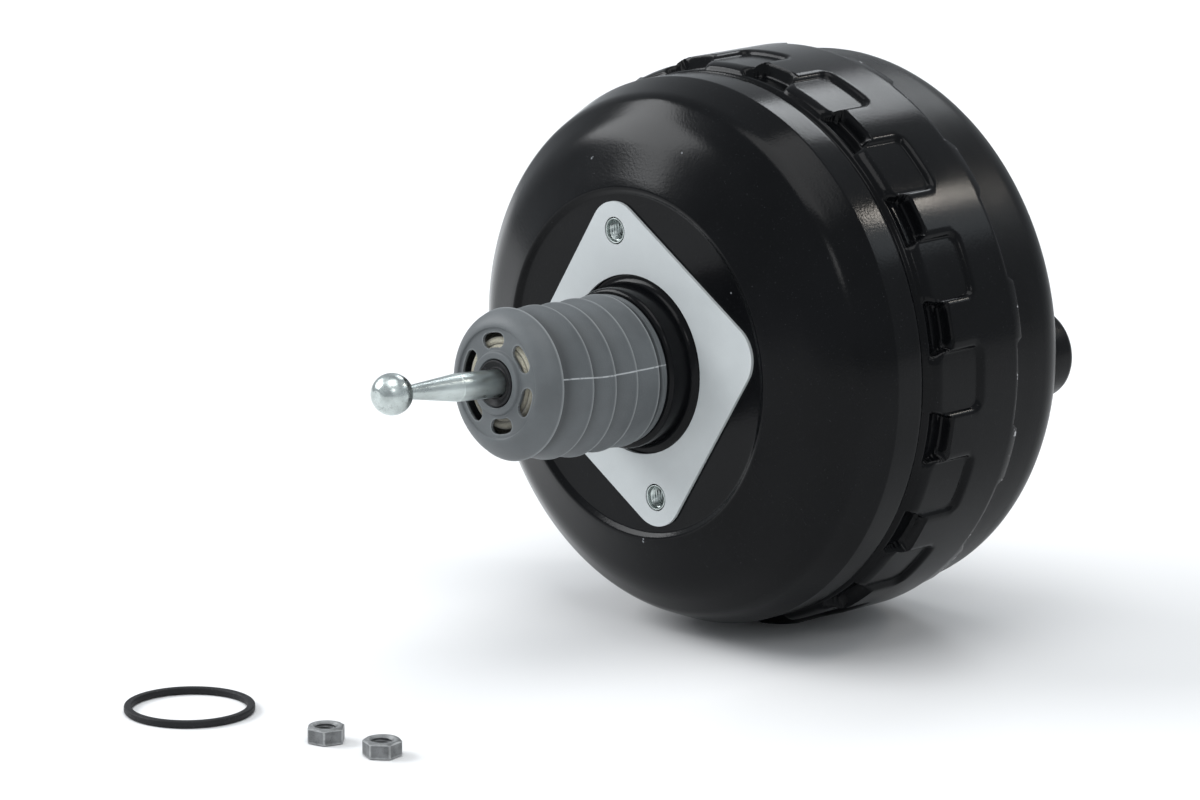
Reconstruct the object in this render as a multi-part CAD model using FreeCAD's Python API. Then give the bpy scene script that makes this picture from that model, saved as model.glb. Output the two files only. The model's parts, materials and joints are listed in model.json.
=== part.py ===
"""Vacuum brake booster with its pedal rod, dust boot, through bolts and valve mechanism.

Millimetres. The booster's axis is Y: the pedal rod points to -Y and the master cylinder
bolts on at +Y. The origin is on the axis, in the outer face of the bulkhead gasket.
Z is up, and the booster lies on its rim, on the plane z = -band_r.
Angles round the axis are counted from +Z towards +X.
"""
import FreeCAD, Part
import math
import os

V = FreeCAD.Vector
ORIGIN = V(0, 0, 0)
AXIS = V(0, 1, 0)

# Sheet metal and overall form
sheet_t = 1.6
band_r = 130.0
band_start_y = 68.0
rim_y = 109.0
face_y = 152.0
face_round = 28.0
floor_z = -band_r

# Roundings up to this radius are drawn as flats that touch the rounding's middle
flat_round = 2.9
large_bend = 5.0

# Bulkhead side of the rear shell
gasket_t = 1.5
neck_r = 36.0
neck_end_y = -13.0
spigot_r = 31.0
spigot_end_y = -20.0
neck_fillet = 4.0
flat_r = 76.0
crest_rise = 1.9
shelf_drop = 6.0
shelf_r = band_r - shelf_drop
step_drop = 2.0
step_r = shelf_r - step_drop
step_y = 34.0
shoulder_in = 4.5
shoulder_rise = 12.5
shoulder_round = 14.0
dome_in = 18.0
dome_rise = 8.5
dome_round = 45.0
groove_y = 55.2
groove_depth = 1.4

# Windows pressed into the band, and the lugs between the notches
window_count = 16
window_phase = -0.6
window_width = 28.0
window_start_y = 64.5
window_end_y = 85.0
window_depth = 2.5
lug_width = 35.0
lug_start_y = 57.0
corner_round = 3.0
lug_rise = 0.8
prism_depth = 14.0

# Crimped rim
tab_count = 12
tab_angle = 12.5
tab_length = 3.0
shell_gap = 0.2

# Bulkhead bolts and the through bolts that carry them
bolt_pitch = 120.0
bolt_tilt = -12.5
thread_minor_r = 4.25
thread_r = 5.0
thread_depth = 16.0
collar_r = 5.6
bolt_shank_r = 5.5
bolt_sleeve_r = 7.0
bolt_flange_r = 10.0
bolt_flange_t = 4.4
bolt_sleeve_length = 13.0
bolt_taper = 1.5
stud_flange_t = 4.8
bolt_hole_gap = 0.2
stud_length = 26.0
tie_seal_t = 1.5

# Bulkhead gasket
gasket_half_diagonal = 79.5
gasket_corner_r = 15.5
gasket_bore_r = 40.4
gasket_hole_r = 6.2

# Front shell
pilot_r = 28.5
pilot_depth = 9.0
rod_window_r = 16.0
front_lip_in = 8.8
front_lip_r = band_r - front_lip_in
front_lip_length = 4.2
boss_r = 20.5
boss_in = 35.0
boss_x = band_r - boss_in
boss_depth = 40.0
boss_z = -4.5
boss_end_y = 164.0
boss_round = 4.0
port_hole_r = 11.0
port_r = 8.0

# Power piston
stroke = 32.0
guide_length = 7.0
tube_r = 22.0
tube_bore_r = 19.0
tube_end_y = -64.0
guide_gap = 0.1
hub_r = 46.0
hub_rear_y = 12.0
hub_front_y = 27.0
hub_step_r = 30.0
nose_r = 22.0
nose_end_y = 56.0
disc_r = 14.0
disc_seat_y = 41.0
disc_t = 8.0
fit_gap = 0.1
output_rod_r = 6.5
output_rod_end_y = 122.0
output_tip_y = 142.0
adjuster_r = 4.0
adjuster_depth = 16.0
adjuster_head_t = 4.6
vent_count = 4
vent_r = 2.2
vent_centre_r = 18.0

# Diaphragm and its plate
diaphragm_t = 1.6
plate_t = 1.2
plate_clearance = 14.0
plate_r = step_r - plate_clearance
plate_rim_y = 52.0
plate_flat_r = 72.0
plate_dish_width = 10.0
plate_dish_r = plate_r - plate_dish_width
plate_dish_y = 20.0
seat_gap = 0.3
bead_t = 5.2
wall_start_y = 38.0
wall_end_y = 62.0
wall_clearance = 5.4
wall_out_r = shelf_r - wall_clearance
clip_t = 1.0
clip_width = 6.0
clip_slot_count = 12
clip_slot_width = 2.4
bush_neck_r = 9.0
bush_lip = 3.0
bush_end = 5.0

# Springs
return_spring_r = 41.5
return_wire_r = 2.1
return_turns = 4.5
poppet_spring_r = 10.2
poppet_wire_r = 0.6
poppet_turns = 3.0
rod_spring_front_r = 15.5
rod_spring_rear_r = 11.8
rod_wire_r = 0.9
rod_spring_turns = 3.0
wire_sides = 6

# Valve plunger, poppet and stop key
valve_travel = 2.4
plunger_r = 8.9
plunger_seat_r = 11.5
plunger_seat_y = -8.0
plunger_seat_t = 4.0
socket_out_r = 8.0
socket_end_y = -31.0
groove_r = 6.5
key_y = 3.5
key_t = 2.5
key_reach = 42.0
key_width = 18.0
poppet_bore_r = 9.4
poppet_out_r = 15.0
poppet_face_t = 3.9
poppet_length = 22.0
poppet_waist = 9.0
poppet_foot = 4.0
retainer_t = 1.7
retainer_sleeve = 9.0
rod_retainer_skirt = 7.0

# Pedal rod; stations are counted from the socket, along the rod
pivot_y = -25.0
rod_tilt = 4.84
socket_ball_r = 5.5
rod_neck_r = 3.6
rod_r = 6.2
rod_tip_neck_r = 3.0
ball_r = 9.15
ball_station = 121.4
taper_station = 83.8
hub_station = 62.0
spring_seat_station = 29.0
spring_seat_r = 13.4
spring_seat_t = 2.0

# Dust boot and air filter
boot_t = 1.6
boot_end_y = -13.4
boot_root_r = 30.6
boot_crest_r = 34.6
boot_collar_r = 33.4
boot_crest_stations = [-4.6, 9.0, 22.4, 35.6, 53.4]
boot_nose_station = 48.0
boot_cap_station = 61.2
boot_collar_length = 6.0
boot_shoulder_drop = 4.2
boot_cap_r = 24.0
boot_hub_r = 13.2
boot_hole_r = 10.3
boot_slot_count = 6
boot_slot_r = 18.6
boot_slot_width = 4.0
boot_slot_angle = 33.0
filter_r = 26.8
filter_t = 11.0

# Loose fixing set laid beside the booster
seal_out_r = 28.35
seal_width = 3.4
seal_height = 3.1
seal_x = -62.0
seal_y = -209.0
nut_flats = 15.0
nut_height = 7.1
nut_places = [(14.0, -198.0, 12.0), (46.0, -195.0, 40.0)]


def flat_point(a, b):
    """A profile point: a is the distance from the axis, b the place along it."""
    return V(a, b, 0)


def plan_point(a, b):
    """A point in the plane across the axis, a along X and b along Z."""
    return V(a, 0, b)


def rounded_edges(corners, place, closed):
    """Edges through the corners (a, b, radius), each corner rounded by its radius.

    An arc of radius R in a corner of half angle h lies R / sin(h) - R below the corner. A small
    rounding becomes a flat at that same depth, an arc where the radius is above flat_round.
    """
    count = len(corners)
    points = [place(c[0], c[1]) for c in corners]
    edges = []
    starts = list(points)
    ends = list(points)
    arcs = [None] * count
    for i in range(count):
        radius = corners[i][2] if len(corners[i]) > 2 else 0.0
        if radius <= 0 or (not closed and i in (0, count - 1)):
            continue
        to_last = (points[i - 1] - points[i]).normalize()
        to_next = (points[(i + 1) % count] - points[i]).normalize()
        half = to_last.getAngle(to_next) / 2
        depth = radius / math.sin(half) - radius
        flat = radius <= flat_round
        reach = depth / math.cos(half) if flat else radius / math.tan(half)
        starts[i] = points[i] + to_last * reach
        ends[i] = points[i] + to_next * reach
        if flat:
            arcs[i] = Part.LineSegment(starts[i], ends[i]).toShape()
            continue
        middle = (to_last + to_next).normalize()
        arcs[i] = Part.Arc(starts[i], points[i] + middle * depth, ends[i]).toShape()
    for i in range(count):
        if arcs[i] is not None:
            edges.append(arcs[i])
        if i < count - 1 or closed:
            following = (i + 1) % count
            if ends[i].distanceToPoint(starts[following]) > 1e-6:
                edges.append(Part.LineSegment(ends[i], starts[following]).toShape())
    return edges


def turned(corners, angle=360.0):
    """A solid turned about the booster's axis from a closed profile of (r, y, radius) corners."""
    face = Part.Face(Part.Wire(rounded_edges(corners, flat_point, True)))
    return face.revolve(ORIGIN, AXIS, angle)


def plate(corners, y, thickness):
    """A flat plate across the axis, from a closed outline of (x, z, radius) corners."""
    face = Part.Face(Part.Wire(rounded_edges(corners, plan_point, True)))
    face.translate(V(0, y, 0))
    return face.extrude(V(0, thickness, 0))


def ring(inner, outer, y0, y1):
    """A plain ring about the axis."""
    return turned([(inner, y0), (outer, y0), (outer, y1), (inner, y1)])


def rod(radius, y0, y1, x=0.0, z=0.0):
    """A plain cylinder along Y."""
    return Part.makeCylinder(radius, y1 - y0, V(x, y0, z), AXIS)


def round_axis(shape, angle):
    """A copy turned about the booster's axis, from +Z towards +X."""
    copy = shape.copy()
    copy.rotate(ORIGIN, AXIS, angle)
    return copy


def repeated(shape, count, phase=0.0):
    """Copies spaced evenly round the axis."""
    return [round_axis(shape, phase + 360.0 * i / count) for i in range(count)]


def on_rod(shape):
    """The shape tilted with the pedal rod, about the socket."""
    copy = shape.copy()
    copy.rotate(V(0, pivot_y, 0), V(1, 0, 0), -rod_tilt)
    return copy


def station(distance):
    """The place along Y of a station on the untilted rod."""
    return pivot_y - distance


def bolt_places():
    """The two bolt axes as (x, z)."""
    angle = math.radians(bolt_tilt)
    half = bolt_pitch / 2
    return [(s * half * math.sin(angle), s * half * math.cos(angle)) for s in (1, -1)]


def at_bolts(shape):
    """Copies of a shape turned about Y, moved to the two bolt axes."""
    copies = []
    for x, z in bolt_places():
        copy = shape.copy()
        copy.translate(V(x, 0, z))
        copies.append(copy)
    return copies


def one(shape):
    """The single solid of a boolean result, with its split faces joined."""
    clean = shape.removeSplitter()
    if len(clean.Solids) == 1:
        return clean.Solids[0]
    return Part.makeCompound(clean.Solids)


def group(shapes):
    """Separate solids of one node."""
    return Part.makeCompound([s for shape in shapes for s in shape.Solids])


def sheet_forms(path, overrun):
    """Two turned solids: what an outline encloses, and what a sheet inside it encloses.

    The path is the outside of the sheet. Its offset by the sheet's thickness is the inside,
    with the small bends left sharp, and it runs past both open ends by the overrun.
    """
    outside = Part.Wire(rounded_edges(path, flat_point, False))
    sharp = [c if len(c) > 2 and c[2] > large_bend else c[:2] for c in path]
    inside = Part.Wire(rounded_edges(sharp, flat_point, False)).makeOffset2D(-sheet_t, 2, False, True)
    return closed_to_axis(outside, 0.0), closed_to_axis(inside, overrun)


def closed_to_axis(wire, overrun):
    """The turned solid under an open profile wire."""
    edges = list(wire.OrderedEdges)
    first = wire.OrderedVertexes[0].Point
    last = wire.OrderedVertexes[-1].Point
    low, high = (first, last) if first.y < last.y else (last, first)
    low_out = V(low.x, low.y - overrun, 0)
    high_out = V(high.x, high.y + overrun, 0)
    corners = [low, low_out, V(0, low_out.y, 0), V(0, high_out.y, 0), high_out, high]
    for a, b in zip(corners, corners[1:]):
        if a.distanceToPoint(b) > 1e-6:
            edges.append(Part.LineSegment(a, b).toShape())
    face = Part.Face(Part.Wire(Part.__sortEdges__(edges)))
    return face.revolve(ORIGIN, AXIS, 360.0)


def helix_wire(front_r, rear_r, y0, y1, turns, wire_r):
    """A wire wound about the axis, from front_r at y0 to rear_r at y1, with flats round it."""
    length = y1 - y0
    angle = math.degrees(math.atan((rear_r - front_r) / length))
    coil = Part.makeHelix(length / turns, length, front_r, angle)
    coil.rotate(ORIGIN, V(1, 0, 0), -90)
    coil.translate(V(0, y0, 0))
    start = coil.Vertexes[0].Point
    outwards = V(start.x, 0, start.z).normalize()
    corners = []
    for i in range(wire_sides + 1):
        turn = 2 * math.pi * (i + 0.5) / wire_sides
        corners.append(start + (outwards * math.cos(turn) + AXIS * math.sin(turn)) * wire_r)
    return Part.Wire(coil.Edges).makePipeShell([Part.makePolygon(corners)], True, True)


def window_prism(width, y0, y1, radius):
    """A rounded rectangle over the top of the band, extruded outwards from inside it."""
    half = width / 2
    corners = [(-half, y0), (half, y0), (half, y1), (-half, y1)]
    edges = rounded_edges([(a, b, radius) for a, b in corners], flat_point, True)
    face = Part.Face(Part.Wire(edges))
    face.translate(V(0, 0, step_r - prism_depth + 2))
    return face.extrude(V(0, 0, 2 * prism_depth))


def lugs(inset):
    """The lugs that carry the windows forwards of the band, their outside set in by the inset."""
    y0 = lug_start_y + inset
    half_band = (window_end_y + window_start_y) / 2
    rounding = corner_round if inset == 0 else 0.0
    prism = window_prism(lug_width - 2 * inset, y0, half_band, rounding)
    rise = lug_rise - inset
    top = band_r - window_depth + rise
    low = step_r - prism_depth
    end = half_band + 1
    cover = turned([(low, y0), (shelf_r + rise, y0), (top, window_start_y), (top, end), (low, end)])
    return repeated(prism.common(cover), window_count, window_phase)


def windows(outset):
    """The recesses of the windows, grown by the outset: a floor, two sides and a back wall."""
    y0 = lug_start_y - 4
    y1 = window_end_y + outset
    rounding = corner_round if outset == 0 else 0.0
    prism = window_prism(window_width + 2 * outset, y0, y1, rounding)
    floor_r = band_r - window_depth - outset
    low = step_r - prism_depth
    foot_y = lug_start_y + outset
    roll_y = window_start_y - outset
    floor = turned([(low, y0 - 1), (low, y1 + 1), (floor_r, y1 + 1), (floor_r, roll_y),
                    (shelf_r - outset, foot_y), (shelf_r - outset, y0 - 1)])
    return repeated(prism.cut(floor), window_count, window_phase)


# Rear shell: pressed cup with the neck, the domed back, sixteen windows and the crimped rim
def rear_shell():
    crest_y = gasket_t - crest_rise
    path = [
        (spigot_r, spigot_end_y),
        (spigot_r, neck_end_y, 1.8),
        (neck_r, neck_end_y, 2.6),
        (neck_r, gasket_t, neck_fillet),
        (flat_r, gasket_t, 1.8),
        (flat_r + 2.6, crest_y, 2.2),
        (step_r - dome_in, gasket_t + dome_rise, dome_round),
        (step_r - shoulder_in, step_y - shoulder_rise, shoulder_round),
        (step_r, step_y - 1, 4.0),
        (shelf_r, step_y + 5, 4.0),
        (shelf_r, groove_y - 2.4, 2.0),
        (shelf_r - groove_depth, groove_y, 2.0),
        (shelf_r, groove_y + 2.4, 2.0),
        (shelf_r, band_start_y - 3.5, 2.5),
        (band_r, band_start_y, 2.5),
        (band_r, rim_y + tab_length),
    ]
    outer, inner = sheet_forms(path, 4.0)
    outer = outer.fuse(lugs(0.0)).removeSplitter().cut(windows(0.0))
    inner = inner.fuse(lugs(sheet_t)).removeSplitter().cut(windows(sheet_t))
    shell = outer.cut(inner)
    gap_angle = 360.0 / tab_count - tab_angle
    low = band_r - 2 * sheet_t
    high = band_r + 2
    notch_end = rim_y + 2 * tab_length
    notch = turned([(low, rim_y), (high, rim_y), (high, notch_end), (low, notch_end)], gap_angle)
    centred = round_axis(notch, -90 + bolt_tilt + tab_angle / 2)
    shell = shell.cut(repeated(centred, tab_count))
    holes = at_bolts(rod(collar_r + bolt_hole_gap, gasket_t - 1, gasket_t + sheet_t + 1))
    return one(shell.cut(holes))


# Front shell: cup nested in the band, with the pilot recess, the stud holes and the port boss
def front_boss(inset):
    radius = boss_r - inset
    end = boss_end_y - inset
    start = face_y - boss_depth
    corners = [(0, start), (radius, start), (radius, end, boss_round - inset), (0, end)]
    boss = turned(corners)
    boss.translate(V(boss_x, 0, boss_z))
    return boss


def front_shell():
    cup_r = band_r - sheet_t - shell_gap
    flange_y = window_end_y + sheet_t + seat_gap + bead_t + 2 * seat_gap
    lip_y = flange_y - front_lip_length
    path = [
        (front_lip_r, lip_y),
        (front_lip_r, flange_y, 1.8),
        (cup_r, flange_y, 0.6),
        (cup_r, face_y, face_round),
        (pilot_r, face_y, 0.6),
        (pilot_r, face_y - pilot_depth, 1.8),
        (rod_window_r, face_y - pilot_depth),
    ]
    outside = Part.Wire(rounded_edges(path, flat_point, False))
    cup = outside.makeOffset2D(-sheet_t, 2, True, True).Faces[0].revolve(ORIGIN, AXIS, 360.0)
    body = turned([(0, flange_y), (cup_r, flange_y), (cup_r, face_y, face_round), (0, face_y)])
    cup = cup.fuse(front_boss(0.0).cut(body)).cut(front_boss(sheet_t))
    holes = at_bolts(rod(bolt_shank_r + fit_gap, face_y - sheet_t - 1, face_y + 1))
    holes.append(rod(port_hole_r, boss_end_y - sheet_t - 1, boss_end_y + 1, boss_x, boss_z))
    return one(cup.cut(holes))


def vacuum_grommet():
    wall0 = boss_end_y - sheet_t
    wall1 = boss_end_y
    grommet = turned([
        (port_r, wall0 - 4.5), (port_hole_r + 1.5, wall0 - 4.5), (port_hole_r + 3, wall0 - 2),
        (port_hole_r + 3, wall0), (port_hole_r, wall0), (port_hole_r, wall1),
        (port_hole_r + 3.4, wall1), (port_hole_r + 3.4, wall1 + 2.6, 1.0), (port_r, wall1 + 3.2)])
    grommet.translate(V(boss_x, 0, boss_z))
    return grommet


# Bulkhead gasket: a square on its corner, rounded, with the neck bore and the bolt holes
def bulkhead_gasket():
    reach = gasket_half_diagonal
    radius = gasket_corner_r
    body = plate([(0, reach, radius), (reach, 0, radius), (0, -reach, radius), (-reach, 0, radius)],
                 0.0, gasket_t)
    body = round_axis(body, bolt_tilt)
    cuts = [rod(gasket_bore_r, -1, gasket_t + 1)] + at_bolts(rod(gasket_hole_r, -1, gasket_t + 1))
    return one(body.cut(cuts))


# Through bolts: tapped at the bulkhead end, studs at the master cylinder end
def tie_bolts():
    seat = gasket_t + sheet_t + tie_seal_t
    inside = face_y - sheet_t
    flange = seat + bolt_flange_t
    sleeve = seat + bolt_sleeve_length
    tip = face_y + stud_length
    profile = [
        (0, thread_depth), (thread_minor_r, thread_depth), (thread_minor_r, 0), (collar_r, 0),
        (collar_r, seat), (bolt_flange_r, seat),
        (bolt_flange_r, flange, 0.8), (bolt_sleeve_r, flange), (bolt_sleeve_r, sleeve),
        (bolt_shank_r, sleeve + bolt_taper), (bolt_shank_r, inside - stud_flange_t - 1),
        (bolt_flange_r - 1, inside - stud_flange_t), (bolt_flange_r - 1, inside), (bolt_shank_r, inside),
        (bolt_shank_r, face_y), (thread_r, face_y), (thread_r, tip - 1), (thread_r - 1, tip), (0, tip)]
    return group(at_bolts(turned(profile)))


def tie_bolt_seals():
    seat = gasket_t + sheet_t
    return group(at_bolts(ring(collar_r + bolt_hole_gap, bolt_flange_r - 0.5, seat, seat + tie_seal_t)))


# Neck: the bearing and the lip seal that the piston's tube slides in
def neck_guide():
    outer = neck_r - sheet_t - shell_gap
    y0 = neck_end_y + sheet_t + shell_gap
    inner = tube_r + guide_gap
    y1 = y0 + guide_length
    return turned([(inner, y0, 0.6), (outer - 2, y0), (outer, y0 + 2), (outer, y1), (inner, y1)])


def neck_seal():
    outer = neck_r - sheet_t - shell_gap
    y0 = neck_end_y + sheet_t + shell_gap + guide_length
    y1 = gasket_t + sheet_t - seat_gap
    inner = tube_r + seat_gap
    return turned([(inner + 4, y0), (outer, y0), (outer, y1 - 3), (inner + 4, y1 - 3),
                   (inner + 1, y1), (inner, y1), (inner, y1 - 1.2), (inner + 2.6, y0 + 2.4)])


# Power piston: valve body, plate, clip, reaction disc and output rod
def control_housing():
    bore_r = plunger_r + fit_gap
    seat_y = plunger_seat_y + 0.8
    outline = [
        (tube_bore_r, tube_end_y), (tube_r, tube_end_y, 0.8), (tube_r, hub_rear_y - 3, 2.0),
        (hub_r - 3, hub_rear_y + 4, 4.0), (hub_r, hub_front_y - 4), (hub_r, hub_front_y),
        (hub_step_r, hub_front_y), (hub_step_r, hub_front_y + 7), (nose_r, hub_front_y + 9),
        (nose_r, nose_end_y), (disc_r + fit_gap, nose_end_y), (disc_r + fit_gap, disc_seat_y),
        (bore_r, disc_seat_y), (bore_r, 0.6), (plunger_seat_r + 0.5, -1.0),
        (plunger_seat_r + 0.5, seat_y), (plunger_seat_r + 2.5, seat_y), (plunger_seat_r + 3.5, -4.0),
        (tube_bore_r, -4.0)]
    body = turned(outline)
    vents = repeated(rod(vent_r, -6, nose_end_y + 1, 0, vent_centre_r), vent_count, 45.0)
    slot = Part.makeBox(2 * hub_r + 4, key_t + 0.4, key_width + 0.4,
                        V(-hub_r - 2, key_y - 0.2, -key_width / 2 - 0.2))
    return one(body.cut(vents).cut(slot))


def stop_key():
    half = key_width / 2
    fork = groove_r + 0.3
    tail = -2 * fork
    corners = [(tail, -half, 1.5), (key_reach, -half, 3.0), (key_reach, half, 3.0), (tail, half, 1.5),
               (tail, fork), (0, fork), (0, -fork), (tail, -fork)]
    body = plate(corners, key_y, key_t)
    return one(body.cut(rod(fork, key_y - 1, key_y + key_t + 1)))


def plate_back_y():
    return hub_front_y + diaphragm_t + 2 * seat_gap


def plate_front_y():
    return plate_back_y() + plate_t


def diaphragm_plate():
    back = plate_back_y()
    front = plate_front_y()
    inner = hub_step_r + fit_gap
    floor_y = plate_dish_y + plate_t
    corner = 0.6 * (plate_r - plate_dish_r)
    body = turned([
        (inner, back), (plate_flat_r, back), (plate_dish_r, plate_dish_y), (plate_r - corner, plate_dish_y),
        (plate_r, plate_dish_y + corner), (plate_r, plate_rim_y), (plate_r - plate_t, plate_rim_y),
        (plate_r - plate_t, floor_y + corner), (plate_r - plate_t - corner, floor_y),
        (plate_dish_r + 0.3, floor_y), (plate_flat_r + 0.3, front), (inner, front)])
    return one(body.cut(at_bolts(rod(bush_neck_r + fit_gap, back - 2, back + 4))))


def plate_clip():
    y0 = plate_front_y()
    inner = hub_step_r + fit_gap
    outer = hub_step_r + clip_width
    clip = turned([(inner, y0 + 1.4), (inner + 1.4, y0), (outer, y0), (outer, y0 + clip_t),
                   (inner + 1.8, y0 + clip_t), (inner, y0 + 1.4 + clip_t)])
    slot = Part.makeBox(clip_slot_width, 6, clip_width - 1, V(-clip_slot_width / 2, y0 - 1, hub_step_r - 1))
    slots = repeated(slot, clip_slot_count)
    return one(clip.cut(slots))


def plate_bushes():
    back = hub_front_y
    front = plate_front_y() + seat_gap
    inner = bolt_shank_r + seat_gap
    lip_r = bush_neck_r + bush_lip
    bush = turned([
        (inner, back - bush_end), (inner + 1.6, back - bush_end), (lip_r, back - bush_end / 2),
        (lip_r, back), (bush_neck_r, back), (bush_neck_r, front), (lip_r, front), (lip_r, front + 1.8),
        (inner + 2, front + bush_end), (inner, front + bush_end)])
    return group(at_bolts(bush))


def reaction_disc():
    return turned([(0, disc_seat_y), (disc_r, disc_seat_y, 0.6), (disc_r, disc_seat_y + disc_t, 0.6),
                   (0, disc_seat_y + disc_t)])


def output_rod():
    y0 = disc_seat_y + disc_t
    head_y = nose_end_y - 0.2
    depth_y = output_rod_end_y - adjuster_depth
    bore_r = adjuster_r - fit_gap
    return turned([
        (0, y0), (disc_r, y0), (disc_r, head_y), (output_rod_r + 1.1, head_y, 1.2),
        (output_rod_r, nose_end_y + 8), (output_rod_r, output_rod_end_y, 1.0),
        (bore_r, output_rod_end_y), (bore_r, depth_y), (0, depth_y)])


def output_rod_adjuster():
    thread = adjuster_r - 2 * fit_gap
    bottom = output_rod_end_y - adjuster_depth + seat_gap
    seat = output_rod_end_y + 0.4
    head = seat + adjuster_head_t
    head_r = adjuster_r + 1.6
    return turned([
        (0, bottom), (thread, bottom), (thread, seat), (head_r, seat, 0.4), (head_r, head, 0.4),
        (adjuster_r, head), (adjuster_r, output_tip_y, adjuster_r - 0.4), (0, output_tip_y)])


def output_rod_retainer():
    y0 = nose_end_y
    skirt_y = y0 - rod_retainer_skirt
    inner = nose_r + fit_gap
    outer = inner + plate_t
    hole = output_rod_r + 1.7
    return turned([
        (hole, y0 + fit_gap), (inner, y0 + fit_gap), (inner, skirt_y), (outer, skirt_y),
        (outer, y0 + plate_t, 1.2), (hole, y0 + plate_t)])


# Diaphragm: bead clamped between the shells, rolling wall, web on the plate
def diaphragm():
    y_bead = window_end_y + sheet_t + seat_gap
    web = hub_front_y + seat_gap
    bead_out = band_r - sheet_t - shell_gap - 0.5
    bead_in = front_lip_r + seat_gap + 0.2
    dish = plate_dish_y - diaphragm_t - seat_gap
    wall = plate_r + seat_gap
    corner = 0.5 * (plate_r - plate_dish_r)
    web_r = hub_step_r + seat_gap
    wall_in_r = wall_out_r - diaphragm_t
    floor = dish + diaphragm_t
    rear = [
        (web_r, web), (plate_flat_r - 0.6, web), (plate_dish_r - 0.6, dish), (wall - corner, dish),
        (wall + diaphragm_t, floor + corner), (wall + diaphragm_t, wall_start_y),
        (wall_out_r, wall_end_y), (wall_out_r, y_bead - 2.6), (bead_in, y_bead), (bead_out, y_bead)]
    front = [
        (web_r, web + diaphragm_t), (plate_flat_r - 0.3, web + diaphragm_t), (plate_dish_r - 0.3, floor),
        (wall - corner - 0.6, floor), (wall, floor + corner + diaphragm_t), (wall, wall_start_y + 0.4),
        (wall_in_r, wall_end_y + 0.4), (wall_in_r, y_bead - 1.2), (bead_in, y_bead + diaphragm_t),
        (bead_in, y_bead + bead_t), (bead_out, y_bead + bead_t)]
    body = turned(rear + front[::-1])
    return one(body.cut(at_bolts(rod(bush_neck_r + fit_gap, web - 2, web + 4))))


# Springs
def return_spring():
    clear = return_wire_r + 0.15
    y0 = plate_front_y() + clear
    y1 = face_y - sheet_t - clear
    return helix_wire(return_spring_r, return_spring_r, y0, y1, return_turns, return_wire_r)


def poppet_spring():
    y0 = retainer_y() + retainer_t + 0.2
    y1 = poppet_face_y() - poppet_face_t - poppet_wire_r - 0.2
    return helix_wire(poppet_spring_r, poppet_spring_r, y0 + poppet_wire_r, y1, poppet_turns, poppet_wire_r)


def rod_return_spring():
    y0 = station(spring_seat_station) + 1.2 + rod_wire_r
    y1 = retainer_y() - rod_wire_r - 0.1
    return helix_wire(rod_spring_rear_r, rod_spring_front_r, y0, y1, rod_spring_turns, rod_wire_r)


# Poppet valve, held in the tube by a pressed retainer
def poppet_face_y():
    return plunger_seat_y - 0.1


def retainer_y():
    return poppet_face_y() - poppet_length - 1.8


def poppet_valve():
    y1 = poppet_face_y()
    y0 = y1 - poppet_length
    waist = y0 + poppet_waist
    foot = y0 + poppet_foot
    wall = poppet_out_r - diaphragm_t
    outer = tube_bore_r - fit_gap
    return turned([
        (poppet_bore_r, y1 - poppet_face_t), (poppet_bore_r, y1, 0.5), (poppet_out_r, y1, 0.8),
        (poppet_out_r, waist), (wall + 0.6, (waist + foot) / 2), (poppet_out_r + 1, foot),
        (outer, foot), (outer, y0), (wall, y0), (wall, y1 - poppet_face_t)])


def poppet_retainer():
    y0 = retainer_y()
    sleeve = poppet_out_r - diaphragm_t - seat_gap
    y1 = y0 + retainer_t
    end = y0 + retainer_sleeve
    outer = tube_bore_r - fit_gap
    inner = sleeve - plate_t
    return turned([(poppet_bore_r, y0), (outer, y0, 0.6), (outer, y1), (sleeve, y1), (sleeve, end),
                   (inner, end), (inner, y1), (poppet_bore_r, y1)])


# Valve plunger: rod socket, air seat, key groove and the stem that bears on the disc
def valve_plunger():
    groove0 = key_y - valve_travel - 0.2
    groove1 = key_y + key_t + 0.1
    end = disc_seat_y - valve_travel - 0.2
    y1 = plunger_seat_y + plunger_seat_t
    body = turned([
        (0, socket_end_y), (socket_out_r, socket_end_y, 0.6), (socket_out_r, plunger_seat_y),
        (plunger_seat_r, plunger_seat_y), (plunger_seat_r, y1), (plunger_r, y1),
        (plunger_r, groove0), (groove_r, groove0), (groove_r, groove1), (plunger_r, groove1),
        (plunger_r, end, 0.8), (0, end)])
    socket = Part.makeSphere(socket_ball_r + 0.05, V(0, pivot_y, 0))
    throat = math.sqrt((socket_ball_r + 0.05) ** 2 - 3.0 ** 2)
    end = socket_end_y - 0.5
    mouth = turned([(0, pivot_y - 3), (throat, pivot_y - 3), (throat + 1.2, end), (0, end)])
    return one(body.cut([socket, mouth]))


# Pedal rod: ball in the socket, seat for its spring, stem, taper and the pedal ball
def pedal_rod():
    taper_end = ball_station - math.sqrt(ball_r ** 2 - rod_tip_neck_r ** 2)
    stem = turned([
        (0, pivot_y), (rod_neck_r, pivot_y), (rod_neck_r, station(10)), (rod_r, station(18)),
        (rod_r, station(taper_station)), (rod_r - 0.5, station(taper_station + 0.3)),
        (rod_r - 0.5, station(taper_station + 1.1)), (rod_r - 0.2, station(taper_station + 1.4)),
        (rod_tip_neck_r, station(taper_end - 1)), (rod_tip_neck_r, station(ball_station)),
        (0, station(ball_station))])
    inner_ball = Part.makeSphere(socket_ball_r, V(0, pivot_y, 0))
    pedal_ball = Part.makeSphere(ball_r, V(0, station(ball_station), 0))
    return on_rod(one(stem.fuse([inner_ball, pedal_ball])))


def rod_spring_seat():
    y1 = station(spring_seat_station)
    return on_rod(turned([(rod_r + 0.05, y1 - spring_seat_t), (spring_seat_r, y1 - spring_seat_t, 0.5),
                          (spring_seat_r, y1, 0.5), (rod_r + 0.05, y1)]))


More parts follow.
